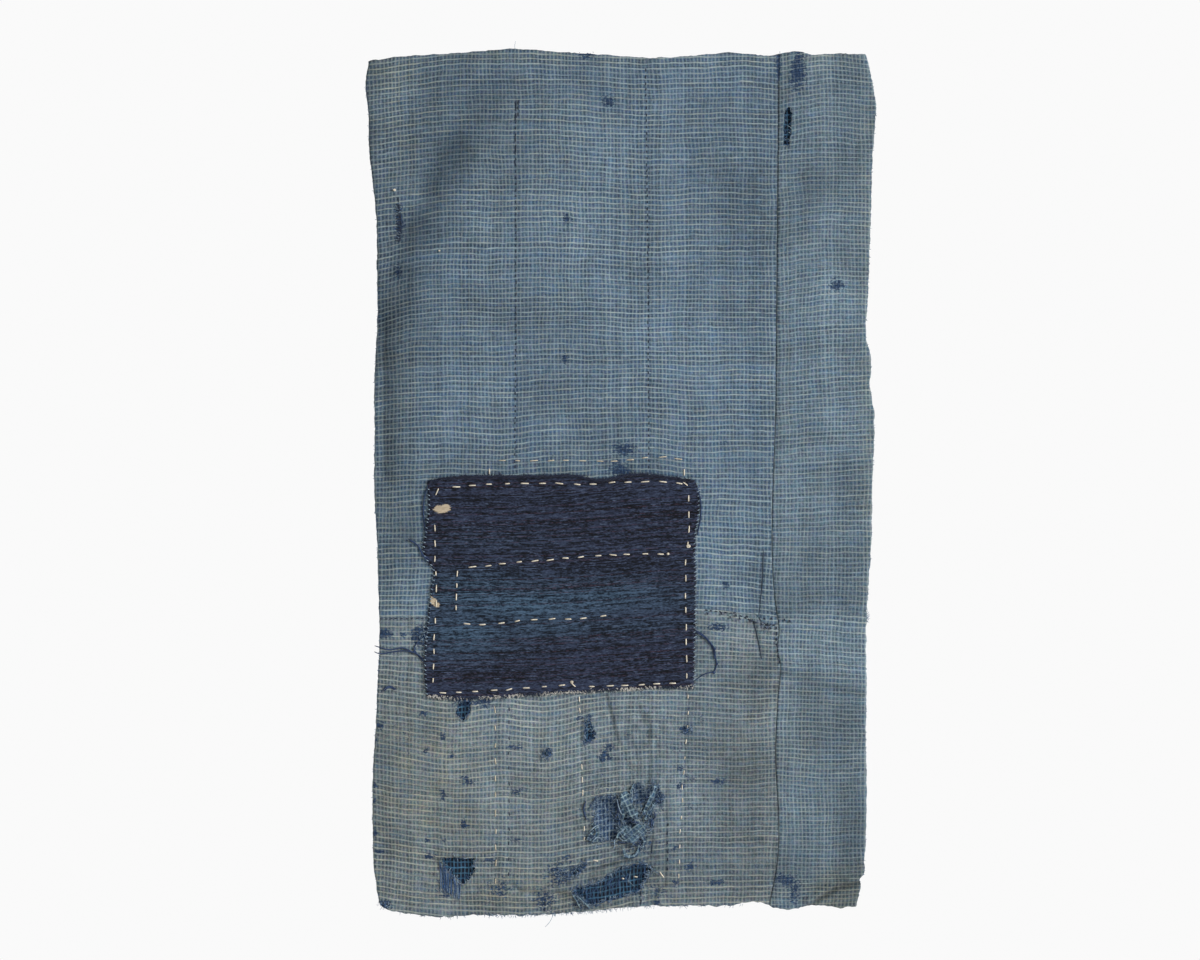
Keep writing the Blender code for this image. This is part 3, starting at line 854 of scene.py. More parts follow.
def dye(w, where, numbers, lines, ground):
    """The ground colour, uneven in level bands, in clouds and in specks, and deep in the squares."""
    across = w.math("MULTIPLY", w.parts(where)[0], 42.0)
    bands = w.node("CombineXYZ", {0: across, 1: w.math("MULTIPLY", lines[1], 1.1)}).outputs[0]
    banded = w.ramp(w.noise(bands, 1.0, 4.0, 0.65), 0.44, 0.66)
    dyed = w.mix(banded, ground, w.tint(ground, (0.68, 0.82, 0.96, 1)))
    clouded = w.ramp(w.noise(where, 190.0, 4.0, 0.65), 0.42, 0.66)
    dyed = w.mix(clouded, dyed, w.tint(dyed, (0.88, 1.0, 1.08, 1)))
    specked = w.ramp(w.noise(where, 420.0, 3.0, 0.6), 0.40, 0.62)
    dyed = w.mix(specked, w.tint(dyed, (0.92, 1.04, 0.98, 1)), w.tint(dyed, (1.10, 0.96, 1.05, 1)))
    cells = w.vector("FLOOR", numbers, (0.0, 0.0, 0.0))
    chance = w.node("TexWhiteNoise", {"Vector": cells}, noise_dimensions="3D").outputs[0]
    chance = w.math("ADD", chance, w.ramp(w.noise(where, 120.0, 3.0), 0.35, 0.65))
    square = w.math("MULTIPLY", square_side(w, lines[0], 0.14, 0.42), square_side(w, lines[1], 0.12, 0.36))
    square = w.math("MULTIPLY", square, w.ramp(chance, 0.1, 1.8, 0.2, 1.0))
    return w.mix(square, dyed, w.tint(dyed, (0.56, 0.63, 0.72, 1)))


# %% The weave's node group
def build_check_weave():
    """Pale threads over the dyed ground, with the height of the yarns."""
    w, given, made = new_group(
        "check weave",
        [("Lines", "Vector"), ("Ground", "Color"), ("Pale", "Color"), ("Weft", "Float"),
         ("Warp", "Float"), ("Mottle", "Float")],
        [("Colour", "Color"), ("Height", "Float"), ("Line", "Float")],
    )
    where = w.node("TexCoord").outputs["Object"]
    drifts = w.node("TexNoise", {"Vector": where, "Scale": 70.0, "Detail": 3.0}).outputs["Color"]
    wander = w.vector("MULTIPLY", w.vector("SUBTRACT", drifts, (0.5, 0.5, 0.5)), (0.7, 0.6, 0.0))
    numbers = w.vector("ADD", given["Lines"], wander)
    lines = w.parts(numbers)
    line = pale_threads(w, where, lines, given)
    level_shade, level_round = yarn_shades(w, lines[1], YARNS_PER_WEFT_LINE, 11.0)
    rise_shade, rise_round = yarn_shades(w, lines[0], YARNS_PER_WARP_LINE, 5.0)
    stripe, _ = yarn_shades(w, lines[0], 1, 61.0)
    clouds = w.math("ADD", w.noise(where, 22.0, 4.0), w.noise(where, 160.0, 3.0))
    grains = w.noise(where, 900.0, 2.0)
    shade = w.total(
        (level_shade, 0.5), (rise_shade, 0.2), (stripe, 0.3),
        (w.math("SUBTRACT", clouds, 1.0), given["Mottle"]), (w.math("SUBTRACT", grains, 0.5), 1.7),
    )
    light = w.grey(w.ramp(shade, -0.2, 1.2, 0.50, 1.58))
    ground = w.tint(dye(w, where, numbers, lines, given["Ground"]), light)
    warmth = w.ramp(w.stretched(where, (50.0, 50.0, 160.0), 3.0), 0.35, 0.65)
    pale = w.tint(given["Pale"], w.mix(warmth, (0.92, 1.00, 1.04, 1), (1.04, 1.02, 0.94, 1)))
    w.feed(made["Colour"], w.mix(line, ground, pale))
    w.feed(made["Height"], w.total((level_round, rise_round), (line, 0.7)))
    w.feed(made["Line"], line)
    return w.tree


CHECK_WEAVE = build_check_weave()

# %% [markdown]
# ## Wear and painted shade on the checks
# Three things have changed the check since it was woven: browning from handling, fading, and
# spots rubbed down to dark thread. The fading value also holds painted light on shaded fold
# flanks and painted shade in folds, seams and creases. Their places are stored at the mesh's
# points, and noise breaks up their edges. Small dark flecks and slubs are scattered over the
# whole cloth.

# %% Node group: wear and painted shade
def build_wear():
    """Browning, fading with its painted light and painted shade, and rubbed spots over a colour."""
    w, given, made = new_group(
        "wear_and_shade",
        [("Colour", "Color"), ("Browned", "Float"), ("FadeAndShade", "Float"), ("Worn", "Float"),
         ("Line", "Float"), ("Flecks", "Float")],
        [("Colour", "Color"), ("Bare", "Float")],
    )
    where = w.node("TexCoord").outputs["Object"]
    clouds = w.noise(where, 45.0, 4.0)
    brown = w.math("MULTIPLY", given["Browned"], w.ramp(clouds, 0.3, 0.7, 0.55, 1.25))
    colour = w.mix(brown, given["Colour"], w.tint(given["Colour"], (1.14, 0.99, 0.81, 1)))
    # The stored fading value, which also holds painted light and painted shade, scales the colour's
    # brightness here.
    drifts = w.noise(w.vector("ADD", where, (0.0, 0.0, 4.0)), 17.0, 3.0)
    fade_and_shade_level = w.total((given["FadeAndShade"], w.ramp(clouds, 0.3, 0.7, 0.6, 1.2)),
                   (w.math("SUBTRACT", drifts, 0.5), 1.6))
    colour = w.tint(colour, w.grey(w.ramp(fade_and_shade_level, -1.7, 1.7, 0.48, 1.52)))
    fuzz = w.stretched(where, (260.0, 260.0, 560.0), 5.0, 0.75)
    blocks = w.stretched(where, (420.0, 420.0, 700.0), 1.0)
    rough_edge = w.total((w.math("SUBTRACT", fuzz, 0.5), 1.6), (w.math("SUBTRACT", blocks, 0.5), 1.8))
    bare = w.ramp(w.math("ADD", given["Worn"], rough_edge), 0.48, 0.68)
    bare = w.math("MULTIPLY", bare, w.ramp(given["Worn"], 0.02, 0.12))
    fleck = w.ramp(w.stretched(where, (210.0, 210.0, 520.0), 3.0, 0.6), 0.67, 0.73, 0.0, 0.7)
    bare = w.math("MAXIMUM", bare, w.math("MULTIPLY", fleck, given["Flecks"]))
    dark = w.mix(w.ramp(fuzz, 0.52, 0.74), ink(18, 42, 72), ink(62, 98, 138))
    kept = w.math("SUBTRACT", 0.96, w.math("MULTIPLY", given["Line"], 0.6))
    w.feed(made["Colour"], w.mix(w.math("MULTIPLY", bare, kept), colour, dark))
    w.feed(made["Bare"], bare)
    return w.tree


WEAR_AND_SHADE = build_wear()


# %% Materials of the checked cloths
Check = namedtuple("Check", "name ground pale weft warp mottle flecks browned")
CHECKS = [
    Check("upper_check", ink(76, 94, 110), ink(155, 168, 170), 0.70, 0.36, 0.8, 1.0, 1.0),
    Check("lower_check", ink(89, 101, 109), ink(161, 168, 165), 0.62, 0.28, 0.9, 1.0, 1.0),
    Check("strip_check", ink(82, 98, 110), ink(153, 165, 167), 0.58, 0.36, 0.7, 0.8, 1.0),
    Check("inner_check", ink(2, 17, 38), ink(73, 117, 148), 0.74, 0.58, 1.6, 0.0, 0.0),
    Check("shred_check", ink(58, 80, 98), ink(154, 174, 180), 0.62, 0.34, 1.4, 1.0, 0.3),
    Check("rear_check", ink(80, 98, 110), ink(152, 165, 167), 0.66, 0.38, 0.9, 1.0, 0.8),
]
CLOTH_ROUGHNESS = 0.92


def cloth_shader(material, colour, height, lift=0.35, sheen=0.08):
    """A matt woven surface with a little sheen, raised by its threads."""
    material.use_nodes = True
    w = Wiring(material.node_tree)
    shader = material.node_tree.nodes["Principled BSDF"]
    w.feed(shader.inputs["Base Color"], colour)
    shader.inputs["Roughness"].default_value = CLOTH_ROUGHNESS
    shader.inputs["Specular IOR Level"].default_value = 0.2
    shader.inputs["Sheen Weight"].default_value = sheen
    shader.inputs["Sheen Roughness"].default_value = 0.6
    bump = w.node("Bump", {"Strength": 0.7, "Distance": lift * MM, "Height": height})
    w.feed(shader.inputs["Normal"], bump.outputs[0])


def new_material(name):
    """A material with its own node tree."""
    material = bpy.data.materials.new(name)
    material.use_nodes = True
    return material, Wiring(material.node_tree)


def stored(w, name, output="Fac"):
    """Values that the mesh stores at its points."""
    return w.node("Attribute", attribute_name=name).outputs[output]


# %% Making the check materials
def make_check(check):
    """One checked cloth's material: the weave with its own inks, and the wear with its painted light and
    painted shade.
    """
    material, w = new_material(check.name)
    ground, pale = check.ground, check.pale
    # Painted light: the inner cloth turns paler where it shows through the open windows.
    if check.name == "inner_check":
        ground = w.mix(stored(w, "window_light"), ground, ink(48, 71, 97))
        pale = w.mix(stored(w, "window_light"), pale, ink(150, 166, 178))
    weave = w.group(CHECK_WEAVE, {
        "Lines": stored(w, "check_lines", "Vector"), "Ground": ground, "Pale": pale,
        "Weft": check.weft, "Warp": check.warp, "Mottle": check.mottle,
    })
    browned = w.math("MULTIPLY", stored(w, "browned"), check.browned)
    wear_and_shade = w.group(WEAR_AND_SHADE, {
        "Colour": weave["Colour"], "Browned": browned, "FadeAndShade": stored(w, "fade_and_shade"),
        "Worn": stored(w, "worn"), "Line": weave["Line"], "Flecks": check.flecks,
    })
    where = w.node("TexCoord").outputs["Object"]
    crumple = w.noise(where, 330.0, 3.0)
    height = w.math("ADD", weave["Height"], w.math("MULTIPLY", crumple, 3.0))
    height = w.math("SUBTRACT", height, wear_and_shade["Bare"])
    cloth_shader(material, wear_and_shade["Colour"], height)
    return material


MATERIALS = {check.name: make_check(check) for check in CHECKS}
print("check materials:", ", ".join(MATERIALS))

# %% [markdown]
# ## The patch's slub cloth
# The patch is woven from thick, unevenly dyed indigo weft over a thin warp. Its colour changes in
# short level slubs, with reddish and pale blue threads among them. Noise that runs along each rib
# makes the slubs, and stored values give the worn light band and two bleached marks.

# %% The patch's material
def make_slub():
    """The patch's material, read from the rib number at each point."""
    material, w = new_material("patch_slub")
    where = w.node("TexCoord").outputs["Object"]
    number = w.parts(stored(w, "check_lines", "Vector"))[2]
    whole = w.math("ROUND", number)
    away = w.math("ABSOLUTE", w.math("SUBTRACT", number, whole))
    yarn_round = w.ramp(away, 0.5, 0.05)
    shade = w.chance(whole)
    across = w.parts(where)[0]

    def drift(pace, seed, detail=3.0):
        """Noise that changes along each rib, and has another start on every rib."""
        start = w.math("MULTIPLY", w.chance(w.math("ADD", whole, seed)), 90.0)
        spot = {0: w.math("MULTIPLY", across, pace), 1: start}
        return w.noise(w.node("CombineXYZ", spot).outputs[0], 1.0, detail, 0.6)

    grains = w.stretched(where, (430.0, 700.0, 1500.0), 2.0, 0.6)
    slubs = drift(115.0, 3.0)
    broad = w.stretched(where, (14.0, 14.0, 60.0), 3.0)
    tone = w.total((drift(45.0, 7.0), 0.35), (slubs, 1.05), (broad, 0.35), (shade, 0.18), (grains, 0.9))
    base = w.mix(w.ramp(tone, 1.20, 1.62), ink(2, 4, 12), ink(48, 57, 80))
    fade_and_shade = w.mix(w.ramp(tone, 1.20, 1.64), ink(8, 22, 38), ink(76, 104, 128))
    base = w.mix(stored(w, "fade_and_shade"), base, fade_and_shade)
    pale = w.ramp(w.math("ADD", slubs, w.math("MULTIPLY", grains, 0.8)), 1.00, 1.14, 0.0, 0.5)
    base = w.mix(pale, base, ink(84, 98, 120))
    red = w.math("MULTIPLY", w.ramp(w.chance(w.math("ADD", whole, 40.0)), 0.72, 0.86),
                 w.ramp(grains, 0.46, 0.62, 0.0, 0.5))
    base = w.mix(red, base, ink(72, 50, 62))
    fibres = w.stretched(where, (300.0, 300.0, 900.0), 4.0, 0.7)
    bleached = w.ramp(w.math("ADD", stored(w, "worn"), fibres), 0.88, 1.02)
    base = w.mix(bleached, base, w.mix(grains, ink(150, 132, 108), ink(204, 190, 166)))
    height = w.total((yarn_round, 1.4), (slubs, 0.6))
    cloth_shader(material, base, height, lift=0.45, sheen=0.02)
    return material


MATERIALS["patch_slub"] = make_slub()


# %% Thread materials
def make_thread(name, light, dark, sheen=0.1):
    """A spun thread: two shades in fine uneven turns."""
    material, w = new_material(name)
    where = w.node("TexCoord").outputs["Object"]
    turns = w.noise(where, 1500.0, 2.0)
    patches = w.noise(where, 120.0, 2.0)
    colour = w.mix(w.ramp(w.math("ADD", turns, w.math("MULTIPLY", patches, 0.5)), 0.5, 1.0), dark, light)
    cloth_shader(material, colour, turns, lift=0.2, sheen=sheen)
    return material


THREADS = {
    "white_thread": (ink(218, 210, 192), ink(168, 158, 140)),
    "cream_thread": (ink(206, 196, 174), ink(146, 137, 120)),
    "selvedge_thread": (ink(196, 192, 182), ink(122, 122, 122)),
    "dark_thread": (ink(38, 50, 70), ink(16, 26, 42)),
    "navy_thread": (ink(44, 64, 98), ink(18, 32, 56)),
    "patch_edge_thread": (ink(20, 32, 58), ink(4, 8, 22)),
    "pale_blue_thread": (ink(142, 160, 172), ink(92, 112, 130)),
    "mid_blue_thread": (ink(64, 96, 134), ink(30, 54, 90)),
    "worn_thread": (ink(46, 80, 118), ink(14, 36, 66)),
}
for name, (light, dark) in THREADS.items():
    MATERIALS[name] = make_thread(name, light, dark)
print(len(MATERIALS), "materials")

# %% [markdown]
# ## The three front sheets
# The upper and lower cloths meet at the cross seam, and the strip runs down their right side.
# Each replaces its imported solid. Where two sheets meet, both edges are turned back a little,
# which leaves the fine dark groove of a sewn seam.

# %% Front sheets
MAIN_WIDTH, STRIP_WIDTH = 334.0, 76.0
UPPER_HEIGHT, LOWER_HEIGHT = 464.0, 238.0
TURNED, SEAM_TURN, OPEN_EDGE = 1.5, 1.0, 0.2

upper_cloth = make_sheet(
    "upper_cloth", Edges(LEFT_EDGE, SIDE_SEAM, TOP_EDGE, CROSS_SEAM, PANEL_MIDDLE),
    (MAIN_WIDTH, UPPER_HEIGHT), 2.2, front_depth, (TURNED, SEAM_TURN, TURNED, SEAM_TURN),
    MATERIALS["upper_check"], ragged=(0.26, 0.0, 0.35, 0.0), with_tears=True,
)
lower_cloth = make_sheet(
    "lower_cloth", Edges(LEFT_EDGE, SIDE_SEAM, CROSS_SEAM, BOTTOM_EDGE, PANEL_MIDDLE),
    (MAIN_WIDTH, LOWER_HEIGHT), 1.7, front_depth, (TURNED, SEAM_TURN, SEAM_TURN, OPEN_EDGE),
    MATERIALS["lower_check"], ragged=(0.26, 0.0, 0.0, 0.65), with_tears=True,
)
strip_cloth = make_sheet(
    "strip_cloth", Edges(SIDE_SEAM, RIGHT_EDGE, TOP_EDGE, BOTTOM_EDGE, PANEL_MIDDLE),
    (STRIP_WIDTH, UPPER_HEIGHT + LOWER_HEIGHT), 2.0, front_depth,
    (SEAM_TURN, TURNED, TURNED, TURNED), MATERIALS["strip_check"],
    ragged=(0.0, 0.32, 0.38, 0.45), strip=True, with_tears=True,
)
for piece in (upper_cloth, lower_cloth, strip_cloth):
    thicken(piece, SHEET_THICKNESS)

# %% [markdown]
# ## The cloth behind
# The same check, unfaded because it never saw the light, lies just behind the front and shows
# through each tear. Its outer face, at the back, has faded as the front has. Solidify can give
# the two faces different materials, so it is still one sheet. It follows only the wide folds,
# and has small ones of its own where the lower tear shows it.

# %% Back cloth
BACK_BEHIND = 1.9
WIDE_CREASE = 5.0
# Painted light: the inner cloth is painted paler where it shows through the open windows, which lie less in
# shade than the heart.
WINDOW_LIGHT = [Spot(-12, -630, 16, 26, 1.2), Spot(18, -612, 22, 18, 1.4), Spot(8, -632, 12, 10, 0.7)]
INNER_FOLDS = [
    Fold("left fold in the lower tear", -14, -676, -12, -700, 1.6, 0.9),
    Fold("shaded side of the left fold", -10, -674, -8.5, -697, 1.3, -0.7),
    Fold("middle fold", 5, -668, 4, -696, 1.5, 0.9),
    Fold("right fold", 17, -668, 14, -690, 1.6, 0.8),
    Fold("level fold", -30, -690, 12, -677, 1.5, 0.7),
]
WIDE_CREASES = [crease for crease in CREASES if crease.half_width >= WIDE_CREASE]


def back_depth(x, z):
    """The rear cloth's middle surface."""
    soft = ripples(x, z, 42, 0.32, seed=2)
    return main_depth(x, z) - fold_forward(WIDE_CREASES + INNER_FOLDS, x, z) - soft + BACK_BEHIND


back_cloth = make_sheet(
    "back_cloth", Edges(LEFT_EDGE, RIGHT_EDGE, TOP_EDGE, BOTTOM_EDGE, PANEL_MIDDLE),
    (MAIN_WIDTH + STRIP_WIDTH, UPPER_HEIGHT + LOWER_HEIGHT), 3.4, back_depth, (-1.0, -1.0, -1.0, 0),
    MATERIALS["inner_check"], ragged=(0.2, 0.2, 0.2, 0.6), inset=0.4,
)
back_points = np.array([vertex.co for vertex in back_cloth.data.vertices]) / MM
window_light = spots(WINDOW_LIGHT, back_points[:, 0], back_points[:, 2])
back_cloth.data.attributes.new("window_light", "FLOAT", "POINT").data.foreach_set("value", window_light)
back_cloth.data.materials.append(MATERIALS["rear_check"])
thicken(back_cloth, SHEET_THICKNESS, other_side=1)

# %% [markdown]
# ## The patch
# The patch lies on the front across the cross seam. Its rows of stitches draw it down, so it is
# gently quilted, and its level ribs come from the thick weft.

# %% Patch sheet
PATCH_WIDTH, PATCH_HEIGHT = 221.0, 175.0
PATCH_ON = 1.0
PATCH_THICKNESS = 0.7
SLUB_PITCH = 0.95
PATCH_ROWS = [
    Fold("top row", -140, -355.5, 52, -353, 3.2, -0.4),
    Fold("left row", -153.5, -387, -155, -520, 3.2, -0.4),
    Fold("bottom row", -151.8, -525.9, 45.8, -517.7, 3.2, -0.4),
    Fold("right row", 56, -362, 54, -514, 3.2, -0.4),
    Fold("inner upper row", -126, -422, 39, -411, 4, -0.35),
    Fold("inner left row", -135.5, -426, -136.4, -457, 4, -0.35),
    Fold("inner lower row", -131.5, -468.6, -11, -462.8, 4, -0.35),
    Fold("pressed line at the upper left", -157, -366, -118, -362, 1.5, 0.4),
    Fold("cross seam under it", -160, -463, 60, -458, 5, 0.3),
]
PATCH_FADED = [
    Spot(-125, -437, 44, 13, 0.85), Spot(-80, -448, 70, 14, 0.85), Spot(-20, -446, 50, 12, 0.7),
    Spot(-132, -472, 40, 16, 0.75), Spot(30, -452, 40, 9, 0.4), Spot(-62, -468, 50, 9, 0.5),
    Spot(-120, -395, 60, 8, 0.15), Spot(10, -472, 40, 8, 0.3),
]
BLEACHED = [
    Spot(-149.0, -374.3, 5.2, 3.0), Spot(-145.0, -373.3, 3.8, 2.8), Spot(-158.5, -447.3, 2.4, 1.8),
    Spot(-155.0, -450.3, 3.0, 2.4), Spot(-152.0, -453.5, 2.2, 1.8),
]


def patch_depth(x, z):
    """The patch's middle surface, in front of the cloth."""
    quilted = fold_forward(PATCH_ROWS, x, z) + ripples(x, z, 26, 0.16, seed=8)
    return main_depth(x, z) - ripples(x, z, 42, 0.32, seed=2) - quilted - PATCH_ON


patch_cloth = make_sheet(
    "patch_cloth", Edges(PATCH_LEFT, PATCH_RIGHT, PATCH_TOP, PATCH_BOTTOM, PATCH_MIDDLE),
    (PATCH_WIDTH, PATCH_HEIGHT), 1.5, patch_depth, (0.5, 0.5, 0.3, 0.3),
    MATERIALS["patch_slub"], ragged=(0.3, 0.3, 0.4, 0.3),
)


def store(piece, name, values):
    """Replaces values stored at a mesh's points."""
    kind = "vector" if np.ndim(values) == 2 else "value"
    piece.data.attributes[name].data.foreach_set(kind, np.asarray(values, np.float32).ravel())


spots_at = np.array([vertex.co for vertex in patch_cloth.data.vertices]) / MM
patch_x, patch_z = spots_at[:, 0], spots_at[:, 2]
tilt = 0.045 * patch_x + 1.2 * np.sin(patch_x / 37)
store(patch_cloth, "check_lines", np.stack([patch_x, patch_z, (patch_z - tilt) / SLUB_PITCH], -1))
store(patch_cloth, "fade_and_shade", spots(PATCH_FADED, patch_x, patch_z - tilt))
store(patch_cloth, "worn", spots(BLEACHED, patch_x, patch_z))
thicken(patch_cloth, PATCH_THICKNESS)

# %% [markdown]
# ## Thread
# Every stitch, fray and loose end is a real thread: a thin tube that follows a short path. One
# mesh for each kind of thread holds hundreds of them, which keeps the scene light. A bundle
# collects the tubes' rings, and thins each thread a little towards its ends.

# %% A bundle of threads
class Bundle:
    """Thin tubes along paths in millimetres, joined into one mesh."""

    def __init__(self):
        self.points = []
        self.faces = []
        self.count = 0

    def add(self, path, radius, sides=5, taper=0.4, flat=1.0):
        path = np.array(path, float)
        along = np.gradient(path, axis=0)
        along /= np.linalg.norm(along, axis=1)[:, None] + 1e-9
        side = np.cross(along, (0.02, -1.0, 0.03))
        side /= np.linalg.norm(side, axis=1)[:, None] + 1e-9
        up = np.cross(side, along)
        steps = len(path)
        ends = np.abs(np.linspace(-1, 1, steps)) ** 4
        reach = radius * (1 - taper * ends)
        first = sum(len(points) for points in self.points)
        rings = []
        for turn in np.arange(sides) * tau / sides:
            rings.append(path + reach[:, None] * (side * cos(turn) + up * sin(turn) * flat))
        self.points.append(np.stack(rings, 1).reshape(-1, 3))
        for step in range(steps - 1):
            for number in range(sides):
                a = first + step * sides + number
                b = first + step * sides + (number + 1) % sides
                self.faces.append((a, b, b + sides, a + sides))
        self.faces.append(tuple(first + number for number in reversed(range(sides))))
        self.faces.append(tuple(first + (steps - 1) * sides + number for number in range(sides)))
        self.count += 1

    def build(self, name, material):
        """Makes the mesh and prints how many threads it holds."""
        mesh = bpy.data.meshes.new(name)
        mesh.from_pydata((np.concatenate(self.points) * MM).tolist(), [], self.faces)
        mesh.shade_smooth()
        mesh.materials.append(MATERIALS[material])
        thing = bpy.data.objects.new(name, mesh)
        bpy.context.scene.collection.objects.link(thing)
        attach(thing, BODY)
        print(name, "holds", self.count, "threads")
        return thing


def smooth_path(points, steps):
    """A smooth path of evenly numbered steps through a few points."""
    points = np.array(points, float)
    lengths = np.concatenate([[0], np.cumsum(np.linalg.norm(np.diff(points, axis=0), axis=1))])
    where = np.linspace(0, lengths[-1], steps)
    return np.stack([read_curve(list(zip(lengths, column)), where) for column in points.T], -1)


def cloth_top(x, z):
    """The front cloth's visible surface along Y."""
    return front_depth(x, z) - SHEET_THICKNESS / 2


def patch_top(x, z):
    """The patch's visible surface along Y."""
    return patch_depth(x, z) - PATCH_THICKNESS / 2


# %% [markdown]
# ## Running stitches
# A running stitch shows as a dash, dips through the cloth and comes up again. A row is a line on
# the cloth and a number of stitches. Each stitch has its own small error in length, place and
# slant, because the rows are sewn by hand.

# %% Rows of running stitches
Row = namedtuple("Row", "points count share surface")
ON_PATCH, ON_CLOTH = patch_top, cloth_top
WHITE_ROWS = [
    Row([(-143.5, -356.3), (-113.3, -354.3), (-82.5, -352.7), (-20.6, -353.5), (10.5, -351.5),
         (39.6, -351.9), (55.5, -354.5)], 14, 0.45, ON_PATCH),
    Row([(-153.7, -382.9), (-153.7, -400.5), (-152.6, -449.2), (-154.3, -483.9), (-155.1, -523.0)],
        11, 0.42, ON_PATCH),
    Row([(-154.8, -526.2), (-110.5, -524.3), (-62.7, -521.0), (-42.5, -519.1)], 8, 0.43, ON_PATCH),
    Row([(-30.0, -520.6), (-6.6, -520.2), (49.5, -517.4)], 6, 0.46, ON_PATCH),
    Row([(55.6, -358.0), (56.1, -389.8), (53.6, -418.7), (53.6, -455.8), (54.4, -518.0)],
        12, 0.44, ON_PATCH),
    Row([(-129.5, -422.6), (-99.0, -419.5), (-52.0, -415.4), (-15.7, -412.5), (38.8, -411.0)],
        13, 0.46, ON_PATCH),
    Row([(-135.0, -423.0), (-136.1, -449.2), (-136.6, -461.0)], 4, 0.48, ON_PATCH),
    Row([(-134.5, -467.8), (-118.0, -469.8), (-103.9, -469.0), (-74.2, -465.4), (-42.9, -464.9),
         (-8.0, -461.8)], 9, 0.42, ON_PATCH),
    Row([(-34.6, -526.5), (-33.8, -545.0)], 2, 0.45, ON_CLOTH),
    Row([(-32.6, -582.0), (-31.3, -613.5)], 3, 0.5, ON_CLOTH),
    Row([(-30.5, -633.5), (-30.5, -650.2)], 2, 0.4, ON_CLOTH),
    Row([(55.3, -523.5), (55.3, -540.8), (53.6, -566.0), (50.8, -604.3), (49.0, -643.9),
         (47.7, -684.0)], 13, 0.32, ON_CLOTH),
]
CREAM_ROWS = [
    Row([(-104.5, -334.0), (-44.5, -334.2), (-1.6, -334.5), (27.2, -331.2), (54.0, -333.2)],
        12, 0.5, ON_CLOTH),
    Row([(-103.9, -534.0), (-103.1, -688.3)], 11, 0.42, ON_CLOTH),
]
SINGLE_STITCHES = [
    ((-153.2, -363.0), (-150.6, -357.0), ON_PATCH), ((-108.7, -346.0), (-108.7, -340.5), ON_CLOTH),
    ((52.2, -347.0), (52.2, -341.0), ON_CLOTH), ((-41.8, -517.2), (-37.4, -521.2), ON_PATCH),
    ((31.8, -673.4), (35.6, -678.6), ON_CLOTH), ((-23.0, -664.0), (-18.5, -665.0), ON_CLOTH),
    ((0.8, -678.9), (2.6, -679.6), ON_CLOTH), ((10.6, -677.6), (13.6, -678.0), ON_CLOTH),
    ((51.0, -351.8), (55.2, -354.8), ON_PATCH),
]
SEWN_SEED = 12
STITCH_STEPS = 12
PATCH_THREAD, CLOTH_THREAD, SINGLE_THREAD = 0.54, 0.42, 0.5


# %% Sewing a row
def back_top(x, z):
    """The rear cloth's visible surface along Y."""
    return back_depth(x, z) + SHEET_THICKNESS / 2


def stitch(bundle, start, end, surface, radius, lift=0.35, sides=6):
    """One stitch: out of the cloth, along it, and back in."""
    share = np.linspace(0, 1, 7)
    x, z = mix(start[0], end[0], share), mix(start[1], end[1], share)
    ends = np.abs(2 * share - 1) ** 5
    outward = 1 if surface is back_top else -1
    y = surface(x, z) + outward * (lift * (1 - ends) - 0.5 * ends)
    bundle.add(np.stack([x, y, z], -1), radius, sides, taper=0.3, flat=0.8)


def sew(bundle, row, random, radius, wobble=0.3, rear=False):
    """A row of running stitches along a line, or its other side, which fills the gaps."""
    fine = smooth_path(row.points, row.count * STITCH_STEPS + 1)
    for number in range(row.count - rear):
        middle = (number + (1 if rear else 0.5)) * STITCH_STEPS + random.normal(0, 0.5)
        half = STITCH_STEPS / 2 * (0.85 - row.share if rear else row.share) * random.uniform(0.82, 1.12)
        low, high = np.clip([middle - half, middle + half], 0, len(fine) - 1)
        ends = [fine[int(round(value))] + random.normal(0, wobble, 2) for value in (low, high)]
        stitch(bundle, ends[0], ends[1], back_top if rear else row.surface, radius)


random = np.random.default_rng(SEWN_SEED)
white = Bundle()
for row in WHITE_ROWS:
    sew(white, row, random, radius=PATCH_THREAD if row.surface is ON_PATCH else CLOTH_THREAD)
for start, end, surface in SINGLE_STITCHES:
    stitch(white, start, end, surface, radius=SINGLE_THREAD)
cream = Bundle()
for row in CREAM_ROWS:
    sew(cream, row, random, radius=CLOTH_THREAD)

# %% Knots in the white thread
def knot(bundle, x, z, surface, size, random):
    """A few tight turns of thread in a small heap."""
    turns = np.linspace(0, 3.4 * tau, 40)
    reach = size * (0.55 + 0.45 * np.sin(turns * 0.37 + 1))
    path_x = x + reach * np.cos(turns) + random.normal(0, 0.05, 40)
    path_z = z + reach * np.sin(turns) * 0.8
    y = surface(x, z) - 0.5 - 0.4 * np.abs(np.sin(turns * 0.8))
    bundle.add(np.stack([path_x, y, path_z], -1), 0.42, sides=5)


KNOTS = [
    (55.7, -404.8, ON_PATCH, 1.5), (-40.6, -517.0, ON_PATCH, 1.0), (38.9, -411.2, ON_PATCH, 0.8),
    (-188.1, -109.3, ON_CLOTH, 0.9), (-150.2, -160.5, ON_CLOTH, 0.4),
]
for side, height, surface, size in KNOTS:
    knot(white, side, height, surface, size, random)
white_stitches = white.build("white_stitches", "white_thread")
cream_stitches = cream.build("cream_stitches", "cream_thread")

# %% The other side of the rows
rear = Bundle()
for row in WHITE_ROWS + CREAM_ROWS:
    sew(rear, row, random, radius=SINGLE_THREAD, rear=True)
rear_stitches = rear.build("rear_stitches", "cream_thread")

# %% [markdown]
# ## Dark sewing and painted tuck shade
# Two long rows of short dark stitches run down the upper cloth and a ladder of them crosses the
# lower left. Dots of thread and small stitches hold the cross seam, thin dark lines of thread along
# the tucks beside it are painted shade, and a short ladder darns the slit at the left edge. All
# hardly show.

